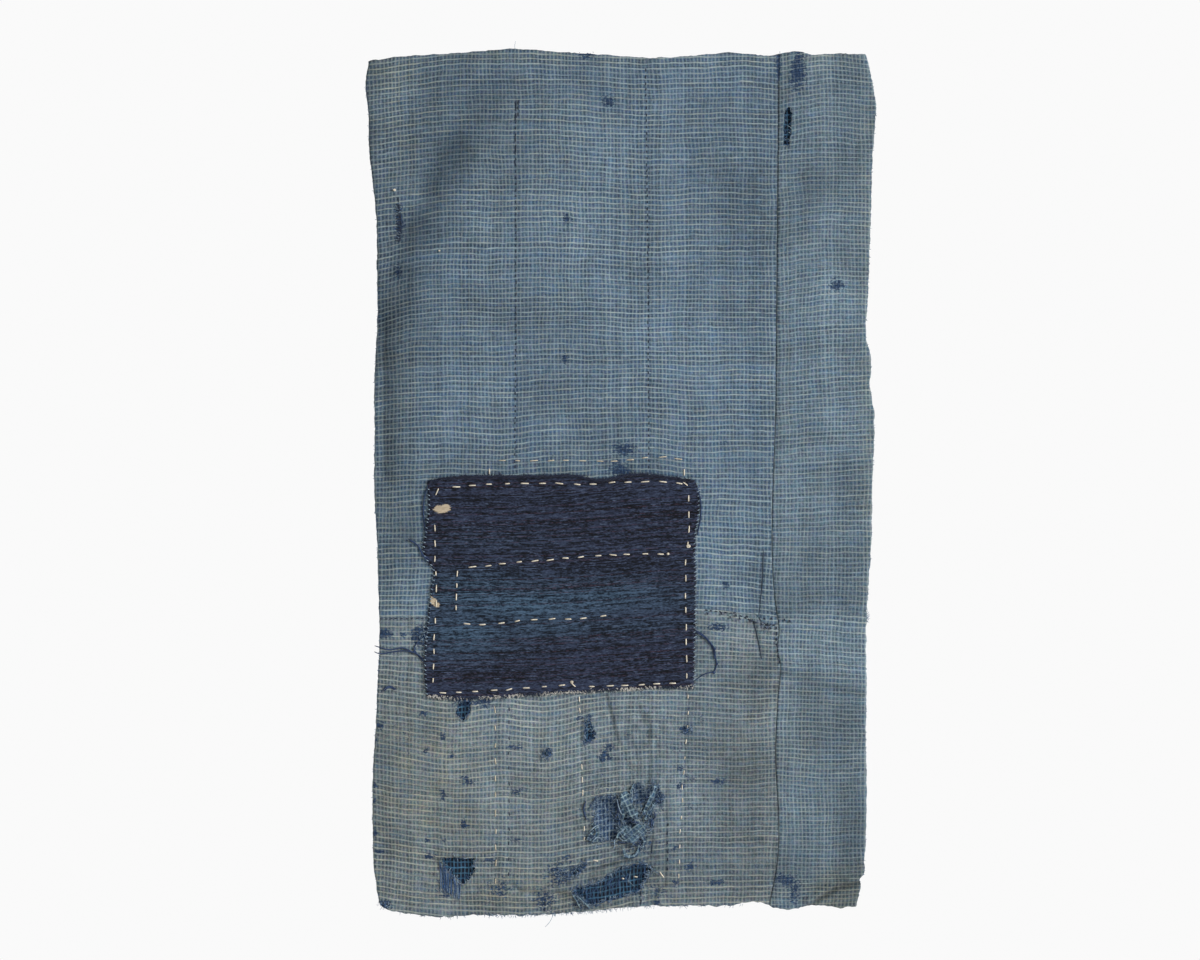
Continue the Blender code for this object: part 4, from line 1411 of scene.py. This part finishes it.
# %% Dark rows
DARK_ROWS = [
    Row([(-87.0, -36.7), (-86.6, -201.7), (-87.4, -342.0)], 60, 0.5, ON_CLOTH),
    Row([(20.6, -9.5), (22.3, -160.5), (23.1, -342.0)], 64, 0.5, ON_CLOTH),
    Row([(-200.8, -464.9), (-161.7, -464.5)], 9, 0.62, ON_CLOTH),
    Row([(69.0, -457.8), (96.2, -460.4)], 7, 0.62, ON_CLOTH),
    Row([(98.0, -462.0), (113.2, -468.6)], 5, 0.7, ON_CLOTH),
    Row([(115.5, -469.9), (128.0, -469.9)], 4, 0.7, ON_CLOTH),
    Row([(128.3, -470.0), (129.6, -492.0), (131.0, -503.0)], 7, 0.6, ON_CLOTH),
    Row([(-185.2, -114.0), (-183.1, -137.4), (-183.6, -152.0)], 6, 0.9, ON_CLOTH),
    Row([(-183.3, -128.0), (-182.2, -146.0)], 3, 0.95, ON_CLOTH),
    Row([(-62.7, -696.7), (-62.7, -707.6)], 2, 0.7, ON_CLOTH),
    Row([(16.5, -688.5), (16.5, -701.7)], 2, 0.8, ON_CLOTH),
    Row([(25.6, -650.3), (25.6, -659.8)], 1, 0.9, ON_CLOTH),
    Row([(38.8, -631.4), (38.8, -674.6)], 6, 0.5, ON_CLOTH),
    Row([(-86.2, -36.7), (-87.2, -54.0)], 2, 0.85, ON_CLOTH),
    Row([(-84.4, -36.0), (-84.8, -50.0)], 3, 0.8, ON_CLOTH),
    Row([(-87.4, -62.0), (-87.2, -92.0)], 3, 0.7, ON_CLOTH),
]
SEAM_DOTS = [
    (71.4, -460.6), (83.2, -460.6), (90.4, -463.7), (95.1, -462.1), (98.2, -464.7), (104.4, -463.1),
    (107.5, -466.2), (110.6, -467.8), (118.8, -464.7), (124.5, -464.7), (116.2, -469.3),
    (121.4, -469.3), (119.8, -472.4), (123.4, -472.6), (135.3, -465.7), (139.4, -466.7),
]
TUCK_SHADOW_LINES = [
    [(117.8, -408.0), (116.4, -440.0), (114.6, -456.0), (114.2, -463.0), (116.4, -468.8)],
    [(108.6, -465.0), (111.4, -474.0), (114.4, -488.0), (116.2, -498.0)],
]
SLIT_LADDER = (-151.0, -121.0, 2.3)
SLIT_LEFT, SLIT_RIGHT = -187.4, -182.4
LADDER_SIDE, LADDER_TOP, LADDER_STEP, LADDER_STITCHES = -92.4, -539.0, 12.4, 12
dark = Bundle()
for row in DARK_ROWS:
    sew(dark, row, random, radius=0.44, wobble=0.25)
for number in range(LADDER_STITCHES):
    height = LADDER_TOP - LADDER_STEP * number + random.normal(0, 0.6)
    stitch(dark, (LADDER_SIDE, height + 1.8), (LADDER_SIDE + random.normal(0, 0.4), height - 1.8),
           ON_CLOTH, 0.45, lift=0.15)
for side, height in SEAM_DOTS:
    stitch(dark, (side - 0.4, height + 0.9), (side + 0.4, height - 0.9), ON_CLOTH, 0.5, lift=0.9)
# Painted shade: thin dark tubes along the tucks stand in for the shade inside them.
for points in TUCK_SHADOW_LINES:
    path = smooth_path(points, 40)
    edge = cloth_top(path[:, 0], path[:, 1]) - 0.1
    dark.add(np.stack([path[:, 0], edge, path[:, 1]], -1), 0.36, 5, taper=0.3)
for height in np.arange(*SLIT_LADDER):
    stitch(dark, (SLIT_LEFT + random.normal(0, 0.4), height),
           (SLIT_RIGHT, height - random.uniform(0.2, 1.2)), ON_CLOTH, 0.42, lift=0.4)
dark_stitches_and_tuck_shade = dark.build("dark_stitches_and_tuck_shade", "dark_thread")

# %% [markdown]
# ## The patch's edges
# Small whip stitches hold the two sides, the top edge is a frayed roll of navy fuzz, and the
# bottom edge is a frayed selvedge of pale and dark ends. All are short threads set along an edge
# curve, each with its own lean.

# %% Whip stitches, fuzz and selvedge
WHIP_PITCH = 3.9
FUZZ_HAIRS = 640
SELVEDGE_ENDS = 620


def hair(bundle, start, direction, length, radius, surface, random, rise=0.5, sides=3):
    """A short bent end of thread that leaves the surface."""
    share = np.linspace(0, 1, 4)
    bend = random.normal(0, 0.25)
    turn = direction + bend * share * 2
    x = start[0] + length * share * np.cos(turn)
    z = start[1] + length * share * np.sin(turn)
    y = surface(start[0], start[1]) - rise * share * random.uniform(0.2, 1.6) - 0.05
    bundle.add(np.stack([x, y, z], -1), radius, sides, taper=0.6)


def whip_edge(bundle, edge, low, high, towards, random):
    """Slanting stitches over a side edge of the patch."""
    for height in np.arange(low, high, WHIP_PITCH):
        z = height + random.normal(0, 0.4)
        side = float(read_curve(edge, z))
        x = np.linspace(side - 1.3 * towards, side + 1.9 * towards, 6)
        rise = np.linspace(-0.8, 0.8, 6) * random.uniform(0.6, 1.3)
        over = np.where((x - side) * towards < 0, patch_top(x, z), cloth_top(x, z)) - 0.3
        over[0] += 0.7
        over[-1] += 0.7
        bundle.add(np.stack([x, over, z + rise], -1), 0.36, 5)


whip = Bundle()
whip_edge(whip, PATCH_LEFT, -526, -358, -1, random)
whip_edge(whip, PATCH_RIGHT, -519, -356, 1, random)
whip_stitches = whip.build("whip_stitches", "pale_blue_thread")

fuzz = Bundle()
for side in random.uniform(-158.5, 60.0, FUZZ_HAIRS):
    top = float(read_curve(PATCH_TOP, side)) - random.uniform(0, 2.2)
    hair(fuzz, (side, top), random.uniform(0.15, 0.85) * pi, random.uniform(1.2, 3.6), 0.24,
         patch_top, random, rise=0.6)
for edge, low, high, towards in ((PATCH_LEFT, -527, -357, pi), (PATCH_RIGHT, -520, -353, 0.0)):
    for height in random.uniform(low, high, 170):
        side = float(read_curve(edge, height))
        hair(fuzz, (side, height), towards + random.normal(0, 0.7), random.uniform(0.8, 2.6), 0.2,
             patch_top, random, rise=0.3)
for phase in (0.0, tau / 3, 2 * tau / 3):
    sides = np.linspace(-158.8, 60.3, 150)
    turn = sides / 2.1 + phase
    tops = read_curve(PATCH_TOP, sides) - 0.5 + 0.7 * np.sin(turn) + ripples(sides, phase, 9, 0.4, 60)
    y = patch_top(sides, tops) - 0.5 - 0.5 * np.cos(turn)
    fuzz.add(np.stack([sides, y, tops], -1), 0.65, 5)
patch_fuzz = fuzz.build("patch_fuzz", "patch_edge_thread")

pale_ends, dark_ends = Bundle(), Bundle()
for side in np.sort(random.uniform(-159.5, 60.0, SELVEDGE_ENDS)):
    clump = 0.45 + 0.35 * sin(side / 9.0) + 0.2 * sin(side / 3.7)
    ends = pale_ends if random.uniform() < clump else dark_ends
    bottom = float(read_curve(PATCH_BOTTOM, side)) + random.uniform(-0.4, 1.8)
    hair(ends, (side, bottom), -pi / 2 + random.normal(0, 0.6), random.uniform(1.2, 3.0), 0.27,
         patch_top, random, rise=0.2, sides=4)
selvedge_pale = pale_ends.build("selvedge_pale_ends", "selvedge_thread")
selvedge_dark = dark_ends.build("selvedge_dark_ends", "dark_thread")

# %% [markdown]
# ## Frayed tears
# A tear in woven cloth ends in loose threads, some dark and some pale, that reach into the
# hole or hang over its edge. In the left window the level threads have partly survived and sag
# across the opening.

# %% Frays around the tears
FRAY_PITCH = 0.42
FRAY_LENGTH = (1.2, 5.0)
FEW_FRAYS = {"heart_tear": 0.25, "strip_slit": 0.2, "small_hole": 0.4}


def cloth_lifted(x, z):
    """Just in front of the cloth, where torn edges lift."""
    return cloth_top(x, z) - 0.5


blue_frays, pale_frays = Bundle(), Bundle()


def pale_or_blue(pale_share):
    """The bundle that the next end goes to, pale by chance."""
    return pale_frays if random.uniform() < pale_share else blue_frays


for name, outline in TORN.items():
    middle = outline.mean(0)
    lengths = np.linalg.norm(np.roll(outline, -1, 0) - outline, axis=1)
    for start, end, length in zip(outline, np.roll(outline, -1, 0), lengths):
        for _ in range(round(length / FRAY_PITCH * FEW_FRAYS.get(name, 1.0))):
            x, z = mix(start, end, random.uniform())
            inward = np.arctan2(middle[1] - z, middle[0] - x) + random.normal(0, 0.9)
            ends = pale_or_blue(0.42)
            hair(ends, (x, z), inward, random.uniform(*FRAY_LENGTH), random.uniform(0.14, 0.26),
                 cloth_lifted, random, rise=0.7)


def loose_thread(bundle, points, radius, lift, surface=cloth_top, sides=5):
    """A thread that lies loosely on the cloth along a few points."""
    count = max(8, int(len(points) * 6))
    path = smooth_path(points, count)
    x, z = path[:, 0], path[:, 1]
    y = surface(x, z) - lift * (0.6 + 0.4 * np.sin(np.linspace(0, 7, count)))
    bundle.add(np.stack([x, y, z], -1), radius, sides, taper=0.5)


# %% Tangles in the torn part
TANGLES = ((4, -630, 17, 14, 90), (12, -648, 9, 6, 50), (27, -612, 7, 7, 40), (-48, -676, 9, 4, 30))
for side, height, half_x, half_z, number in TANGLES:
    for _ in range(number):
        x, z = side + half_x * random.normal(0, 0.5), height + half_z * random.normal(0, 0.5)
        turn, length = random.uniform(0, tau), random.uniform(1.5, 4.5)
        bend = turn + random.normal(0, 0.9)
        points = [(x, z), (x + length * cos(turn), z + length * sin(turn)),
                  (x + length * (cos(turn) + cos(bend)), z + length * (sin(turn) + sin(bend)))]
        ends = pale_or_blue(0.5)
        loose_thread(ends, points, random.uniform(0.14, 0.24), random.uniform(0.4, 1.8), sides=3)

# %% Threads that hang from the tears
FRINGE_TOP = [(-150.5, -664.5), (-133.0, -682.0)]
FRINGE_FOOT = [(-148.5, -688.0), (-133.0, -698.0)]
FRINGE_THREADS = 34
HUNG_FROM, HUNG_TO = (-36.0, -690.0), (24.0, -668.0)
HUNG_THREADS = 52
for share in np.linspace(0, 1, FRINGE_THREADS):
    start, end = ([mix(*pair, share) + random.normal(0, 0.8) for pair in zip(*side)]
                  for side in (FRINGE_TOP, FRINGE_FOOT))
    middle = (mix(start[0], end[0], 0.5) + random.normal(0.6, 0.6), mix(start[1], end[1], 0.5))
    ends = pale_or_blue(0.3)
    loose_thread(ends, [start, middle, end], random.uniform(0.16, 0.28), random.uniform(0.3, 0.9), sides=4)
for _ in range(HUNG_THREADS):
    share = random.uniform()
    x, z = mix(HUNG_FROM[0], HUNG_TO[0], share), mix(HUNG_FROM[1], HUNG_TO[1], share) + random.normal(0, 1.5)
    length, lean = random.uniform(4.0, 13.0), random.normal(-0.1, 0.5)
    points = [(x, z), (x + length * lean * 0.4, z - length * 0.5), (x + length * lean, z - length)]
    ends = pale_or_blue(0.12)
    loose_thread(ends, points, random.uniform(0.14, 0.28), random.uniform(-0.8, 0.4), sides=3)
WINDOW_THREADS = (-616.0, -626.4, -638.1, -643.0)
for height in WINDOW_THREADS:
    left, right = random.uniform(-26, -22), random.uniform(-20, -13)
    sag = random.uniform(-0.6, 1.6)
    points = [(left, height + 0.8), (mix(left, right, 0.4), height - sag), (right, height + 0.3)]
    loose_thread(pale_frays, points, 0.16, 0.3)

# %% [markdown]
# ## Rubbed spots and frayed edges
# In the rubbed spots short ends of dark thread stand up from the weave. The turned edges have
# shed ends all along their length, in one place a whole tuft, and the raw hem has shed the most.
# Each end starts at a random place near its spot or its edge curve.

# %% Worn marks
MARKED = 0.65
worn_marks = Bundle()
for spot in WORN:
    if spot.strength < MARKED:
        continue
    for _ in range(round(4 + 0.5 * spot.half_x * spot.half_z)):
        x = spot.x + random.normal(0, 0.38) * spot.half_x
        z = spot.z + random.normal(0, 0.38) * spot.half_z
        turn = random.choice([0.0, pi, pi / 2, -pi / 2], p=[0.36, 0.36, 0.14, 0.14]) + random.normal(0, 0.35)
        hair(worn_marks, (x, z), turn, random.uniform(0.6, 2.0), random.uniform(0.16, 0.32), cloth_top,
             random, rise=0.2)
worn_thread_marks = worn_marks.build("worn_thread_marks", "worn_thread")

# %% Frayed outer edges
EDGE_ENDS = 130
TUFT, TUFT_ENDS = (202.5, -462.4), 18
SLIT_ENDS = 14
TOP_THREAD = [(-86.8, 4.0), (-87.8, 8.0), (-87.0, 12.6)]


def front_edge(x, z):
    """The turned side edges, a little behind the front surface."""
    return cloth_top(x, z) + 0.4


for edge, outward in ((LEFT_EDGE, pi), (RIGHT_EDGE, 0.0)):
    for height in random.uniform(-695, -20, EDGE_ENDS):
        side = float(read_curve(edge, height))
        ends = pale_or_blue(0.45)
        hair(ends, (side - 0.4 * cos(outward), height), outward + random.normal(0, 0.6),
             random.uniform(0.6, 1.8), 0.26, front_edge, random, rise=0.1)
for _ in range(TUFT_ENDS):
    ends = pale_or_blue(0.6)
    root = (TUFT[0] + random.normal(0, 0.6), TUFT[1] + random.normal(0, 2.2))
    hair(ends, root, random.normal(0, 0.6), random.uniform(2.0, 4.2), 0.24, front_edge, random, rise=0.2)
for height in random.uniform(SLIT_LADDER[0] + 1.0, SLIT_LADDER[1], SLIT_ENDS):
    root = (SLIT_LEFT + 0.9 + random.normal(0, 0.8), height)
    hair(pale_frays, root, random.normal(-0.2, 0.4), random.uniform(1.4, 3.0), 0.2, cloth_lifted,
         random, rise=0.3)
loose_thread(pale_frays, TOP_THREAD, 0.18, 0.2)

# %% Frayed bottom edge
HEM_ENDS = 240
HEM_THREAD = [(-55.4, -708.1), (-58.6, -714.9), (-62.7, -719.6)]
for side in random.normal(-35, 62, HEM_ENDS):
    side = float(np.clip(side, -198, 190))
    ends = pale_or_blue(0.5)
    bottom = float(read_curve(BOTTOM_EDGE, side)) + 0.8
    hair(ends, (side, bottom), -pi / 2 + random.normal(0, 0.6), random.uniform(1.2, 3.8), 0.2,
         cloth_top, random, rise=0.2)
loose_thread(pale_frays, HEM_THREAD, 0.22, 0.2)
torn_frays = blue_frays.build("torn_blue_frays", "mid_blue_thread")
torn_pale_frays = pale_frays.build("torn_pale_frays", "pale_blue_thread")

# %% [markdown]
# ## Loose threads and painted shadows
# Where stitching has given way, thick navy threads stand off the cloth: two on the left that
# reach past its edge, and one on the right in a loop with small knots. Thicker tubes of the same
# navy, laid into the torn part, are painted shadow in the hollows beside its rolled folds.

# %% Loose navy threads and painted shadows
LOOSE = [
    [(-158.6, -417.9), (-162.5, -414.2), (-166.6, -406.3), (-172.8, -400.5), (-176.1, -398.9)],
    [(-158.0, -416.0), (-163.8, -411.8), (-168.6, -403.8), (-174.8, -400.0)],
    [(-167.8, -483.9), (-170.8, -489.6), (-169.1, -492.9), (-162.1, -501.2)],
    [(-162.1, -498.7), (-170.8, -492.9), (-179.0, -491.3), (-188.1, -492.1), (-200.5, -493.5),
     (-203.8, -492.1)],
    [(-170.8, -492.9), (-180.7, -488.8), (-190.6, -490.5), (-203.5, -487.2)],
    [(60.7, -474.0), (66.4, -477.0), (72.6, -483.0), (77.1, -489.6), (78.0, -495.9), (79.0, -501.6),
     (77.1, -507.8), (69.3, -510.3), (60.7, -516.0)],
    [(60.9, -475.4), (67.4, -478.8), (73.6, -485.2), (76.6, -492.6), (77.2, -498.2)],
    [(-28.9, -615.0), (-30.8, -622.5), (-28.2, -630.7)],
    [(-159.8, -355.0), (-162.8, -368.0), (-162.9, -384.0), (-161.0, -396.0)],
    [(-197.0, -523.8), (-191.8, -520.6), (-185.6, -523.0)],
    [(-195.6, -524.2), (-191.4, -521.6), (-186.6, -523.6)],
    [(62.5, -356.0), (65.5, -366.0), (65.8, -380.0), (63.0, -396.0)],
]
SHADOW_THREADS = [
    [(27.7, -623.8), (28.1, -628.0), (25.3, -632.0), (25.0, -636.2)], [(20.0, -612.4), (24.2, -610.4)],
    [(28.1, -614.2), (33.6, -616.3)], [(7.4, -632.0), (14.3, -633.5), (11.6, -637.6)],
    [(8.8, -641.0), (10.9, -643.0)], [(-2.9, -614.2), (-2.6, -624.5), (-5.0, -629.3)],
    [(-2.9, -648.7), (2.6, -649.6), (8.1, -648.9), (13.6, -652.4)], [(14.6, -649.6), (16.6, -652.2)],
]
LOOSE_KNOTS = [(77.6, -489.6), (79.2, -502.0), (76.7, -509.4), (-170.8, -492.0)]
loose = Bundle()
for points in LOOSE:
    loose_thread(loose, points, 0.6, 1.0)
for side, height in LOOSE_KNOTS:
    knot(loose, side, height, cloth_top, 0.8, random)
# Painted shadow: dark navy tubes laid into the hollows of the torn part.
for points in SHADOW_THREADS:
    loose_thread(loose, points, 0.75, 2.2)
navy_threads_and_shadows = loose.build("loose_navy_threads_and_shadows", "navy_thread")

# %% [markdown]
# ## Shreds
# Around the torn windows, pieces of the front cloth still hang on. Two larger flaps lie crumpled
# with their check turned, and narrow shreds are rolled and curled. A flap is a small lattice cut
# to a ragged outline, and a shred is a strip of a few points across whose sides curl forward.
# Pale threads laid along the crests of the folds are painted highlights, where frayed ridges catch the
# light.

# %% Flaps of the front cloth
Flap = namedtuple("Flap", "outline turn lift crumple")
FLAPS = [
    Flap([(-2.0, -610.0), (4.0, -606.0), (9.5, -611.0), (10.5, -619.0), (15.0, -628.0), (11.0, -631.0),
          (6.0, -627.0), (1.5, -621.0)], 25, 1.0, 1.0),
    Flap([(-3.5, -638.5), (3.0, -635.0), (9.0, -637.5), (14.5, -633.0), (20.5, -634.0), (21.0, -641.0),
          (15.5, -645.5), (10.0, -650.5), (2.5, -648.5)], 40, 1.4, 1.5),
]
FLAP_CELL = 0.8


def flap_depth(flap, x, z):
    """A crumpled piece's surface: it stands off in sharp little folds."""
    folds = ripples(x, z, 11, 0.4, seed=81) + ripples(x, z, 5, 0.09, seed=82)
    return cloth_top(x, z) - flap.lift - flap.crumple * (0.8 - folds)


def add_flap(flap, seed, points, lines, faces, ends, random):
    """A torn piece of the cloth with its own turned check and ragged edge."""
    outline = torn(flap.outline, seed, step=1.0, raggedness=0.45)
    low, high = outline.min(0), outline.max(0)
    x, z = np.meshgrid(np.arange(low[0], high[0], FLAP_CELL), np.arange(high[1], low[1], -FLAP_CELL))
    kept = quads_of(x.shape)
    x, z = x.ravel(), z.ravel()
    kept = kept[inside(x, z, outline)[kept].sum(1) >= 3]
    used, kept = np.unique(kept, return_inverse=True)
    x, z = x[used], z[used]
    turn = radians(flap.turn)
    level = (z * cos(turn) - x * sin(turn)) / LEVEL_PITCH
    rising = (x * cos(turn) + z * sin(turn)) / WARP_PITCH
    first = sum(len(block) for block in points)
    points.append(np.stack([x, flap_depth(flap, x, z), z], -1))
    lines.append(np.stack([rising, level, 0 * x], -1))
    faces += (kept.reshape(-1, 4) + first).tolist()
    middle = outline.mean(0)
    for side, height in outline[::2]:
        turn = np.arctan2(height - middle[1], side - middle[0]) + random.normal(0, 0.8)
        hair(ends, (side, height), turn, random.uniform(0.8, 2.6), 0.15,
             lambda a, b: flap_depth(flap, a, b), random)


# %% Shreds of the front cloth
Shred = namedtuple("Shred", "points width curl lift")
SHREDS = [
    Shred([(28.9, -601.5), (26.9, -608.0), (23.6, -615.6), (20.8, -621.0), (18.6, -626.5)], 3.4, 1.2, 2.0),
    Shred([(29.6, -613.0), (26.6, -619.0), (23.3, -624.5), (19.8, -631.0)], 3.0, 1.2, 1.2),
    Shred([(1.5, -608.0), (0.5, -616.0), (2.5, -624.0), (1.0, -631.0)], 2.2, 1.2, 1.6),
    Shred([(-3.5, -646.0), (0.0, -641.0), (4.5, -643.5)], 2.6, 1.2, 2.4),
    Shred([(4.0, -639.0), (9.5, -643.0), (14.5, -640.0), (19.5, -643.5)], 2.2, 1.3, 2.8),
    Shred([(15.7, -641.6), (19.5, -648.0), (17.6, -653.5), (14.0, -651.5)], 1.8, 1.2, 1.6),
    Shred([(2.0, -654.0), (4.0, -660.0), (10.0, -661.0), (14.5, -657.0), (15.0, -652.0)], 2.8, 1.3, 1.4),
    Shred([(-40.0, -691.0), (-36.0, -697.0), (-32.5, -703.5)], 2.4, 1.5, 0.8),
    Shred([(-36.3, -692.6), (-30.5, -698.0), (-25.6, -703.4)], 2.0, 1.4, 0.8),
    Shred([(11.0, -601.0), (8.5, -608.0), (9.5, -616.5)], 2.0, 1.3, 1.0),
    Shred([(-24.0, -633.0), (-19.0, -641.0), (-23.5, -648.0)], 2.6, 1.2, 1.0),
    Shred([(-22.0, -640.0), (-27.0, -646.0), (-17.0, -648.5)], 2.2, 1.2, 1.0),
]
SHRED_COLUMNS = 7


def add_shred(shred, points, lines, faces, ends, random):
    """A narrow ragged strip whose sides curl towards the viewer, with the check along it."""
    runs = [hypot(*np.subtract(end, start)) for start, end in zip(shred.points, shred.points[1:])]
    steps = max(8, round(sum(runs) / 0.8))
    line = smooth_path(shred.points, steps)
    along = np.gradient(line, axis=0)
    along /= np.linalg.norm(along, axis=1)[:, None]
    side = np.stack([-along[:, 1], along[:, 0]], -1)
    first = sum(len(block) for block in points)
    taper = 0.45 + 0.55 * np.sin(np.linspace(0.35, pi - 0.3, steps))
    phase = random.uniform(0, tau)
    block, numbers = [], []
    for column in np.linspace(-1, 1, SHRED_COLUMNS):
        turn = column * shred.curl
        across = np.sin(turn) / max(sin(shred.curl), 0.6) if shred.curl < pi / 2 else np.sin(turn)
        half = shred.width / 2 * taper * (1 + ripples(line[:, 0], line[:, 1] + column, 5, 0.14, seed=71))
        x = line[:, 0] + side[:, 0] * across * half
        z = line[:, 1] + side[:, 1] * across * half
        rise = shred.lift + 0.5 * half * (1 - cos(turn)) + ripples(x, z, 8, 0.16, seed=72)
        block.append(np.stack([x, cloth_top(line[:, 0], line[:, 1]) - rise, z], -1))
        along_it = np.linspace(0, sum(runs) / LEVEL_PITCH, steps) + phase
        numbers.append(np.stack([column * half / WARP_PITCH + phase, along_it, 0 * half], -1))
    for edge, outward in ((block[0], -side), (block[-1], side)):
        for (x, y, z), (away_x, away_z) in zip(edge, outward):
            if random.uniform() < 0.22:
                turn = np.arctan2(away_z, away_x) + random.normal(0, 0.8)
                hair(ends, (x, z), turn, random.uniform(0.6, 2.4), 0.15, lambda a, b, y=y: y, random)
    points.append(np.stack(block, 1).reshape(-1, 3))
    lines.append(np.stack(numbers, 1).reshape(-1, 3))
    faces += (quads_of((steps, SHRED_COLUMNS)) + first).tolist()


RIDGE_HIGHLIGHTS = [
    [(28.4, -602.0), (26.2, -608.0), (22.9, -615.6), (20.2, -621.0), (19.0, -625.0)],
    [(28.1, -616.3), (23.3, -623.9), (19.8, -630.7)], [(9.5, -606.0), (9.1, -612.2), (9.8, -618.0)],
    [(-3.3, -613.4), (-1.5, -621.0), (2.6, -628.0), (10.9, -629.3), (12.2, -632.1)],
    [(-2.2, -642.4), (3.3, -638.3), (8.8, -637.6), (13.6, -638.3)],
    [(-2.2, -644.5), (1.9, -647.9), (6.8, -647.2), (12.2, -651.3), (17.1, -653.4)],
    [(17.3, -641.0), (17.1, -644.5), (18.4, -647.9), (19.5, -651.3), (17.7, -653.4)],
    [(-5.6, -647.2), (-5.3, -652.0), (-5.9, -654.8)], [(-26.0, -640.0), (-21.0, -636.0), (-14.5, -634.0)],
    [(-24.5, -649.0), (-19.0, -645.0), (-15.0, -647.0)],
]

# %% The shreds as one mesh
shred_points, shred_lines, shred_faces = [], [], []
shred_ends_and_highlights = Bundle()
# Painted highlights: pale threads along the fold crests of the shreds.
for points in RIDGE_HIGHLIGHTS:
    loose_thread(shred_ends_and_highlights, points, random.uniform(0.32, 0.46), 2.9)
for seed, flap in enumerate(FLAPS):
    add_flap(flap, 90 + seed, shred_points, shred_lines, shred_faces, shred_ends_and_highlights, random)
for shred in SHREDS:
    add_shred(shred, shred_points, shred_lines, shred_faces, shred_ends_and_highlights, random)
shred_points = np.concatenate(shred_points)
shred_values = cloth_values(shred_points[:, 0], shred_points[:, 2])
shred_values["check_lines"] = np.concatenate(shred_lines)
shred_values["worn"] = 0.22 + ripples(shred_points[:, 0], shred_points[:, 2], 8, 0.1, seed=83)
shred_values["fade_and_shade"] += 0.1
shred_values["browned"] *= 0.2
shreds = mesh_object("torn_shreds", shred_points, shred_faces, MATERIALS["shred_check"], shred_values)
thicken(shreds, 0.4)
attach(shreds, BODY)
shred_frays_and_highlights = shred_ends_and_highlights.build("shred_frays_and_highlights", "pale_blue_thread")
print("flaps:", len(FLAPS), "shreds:", len(SHREDS))

# %% [markdown]
# ## Dressing the frame
# Each sheet takes the place of one imported solid, whose own mesh is hidden, and rides on the one body.

# %% Dress the frame
def dress(piece, node):
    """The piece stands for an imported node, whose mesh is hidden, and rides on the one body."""
    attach(piece, BODY)
    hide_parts(node)


dress(upper_cloth, "upper_panel")
dress(lower_cloth, "lower_panel")
dress(strip_cloth, "side_strip")
dress(back_cloth, "back_layer")
dress(patch_cloth, "front_patch")
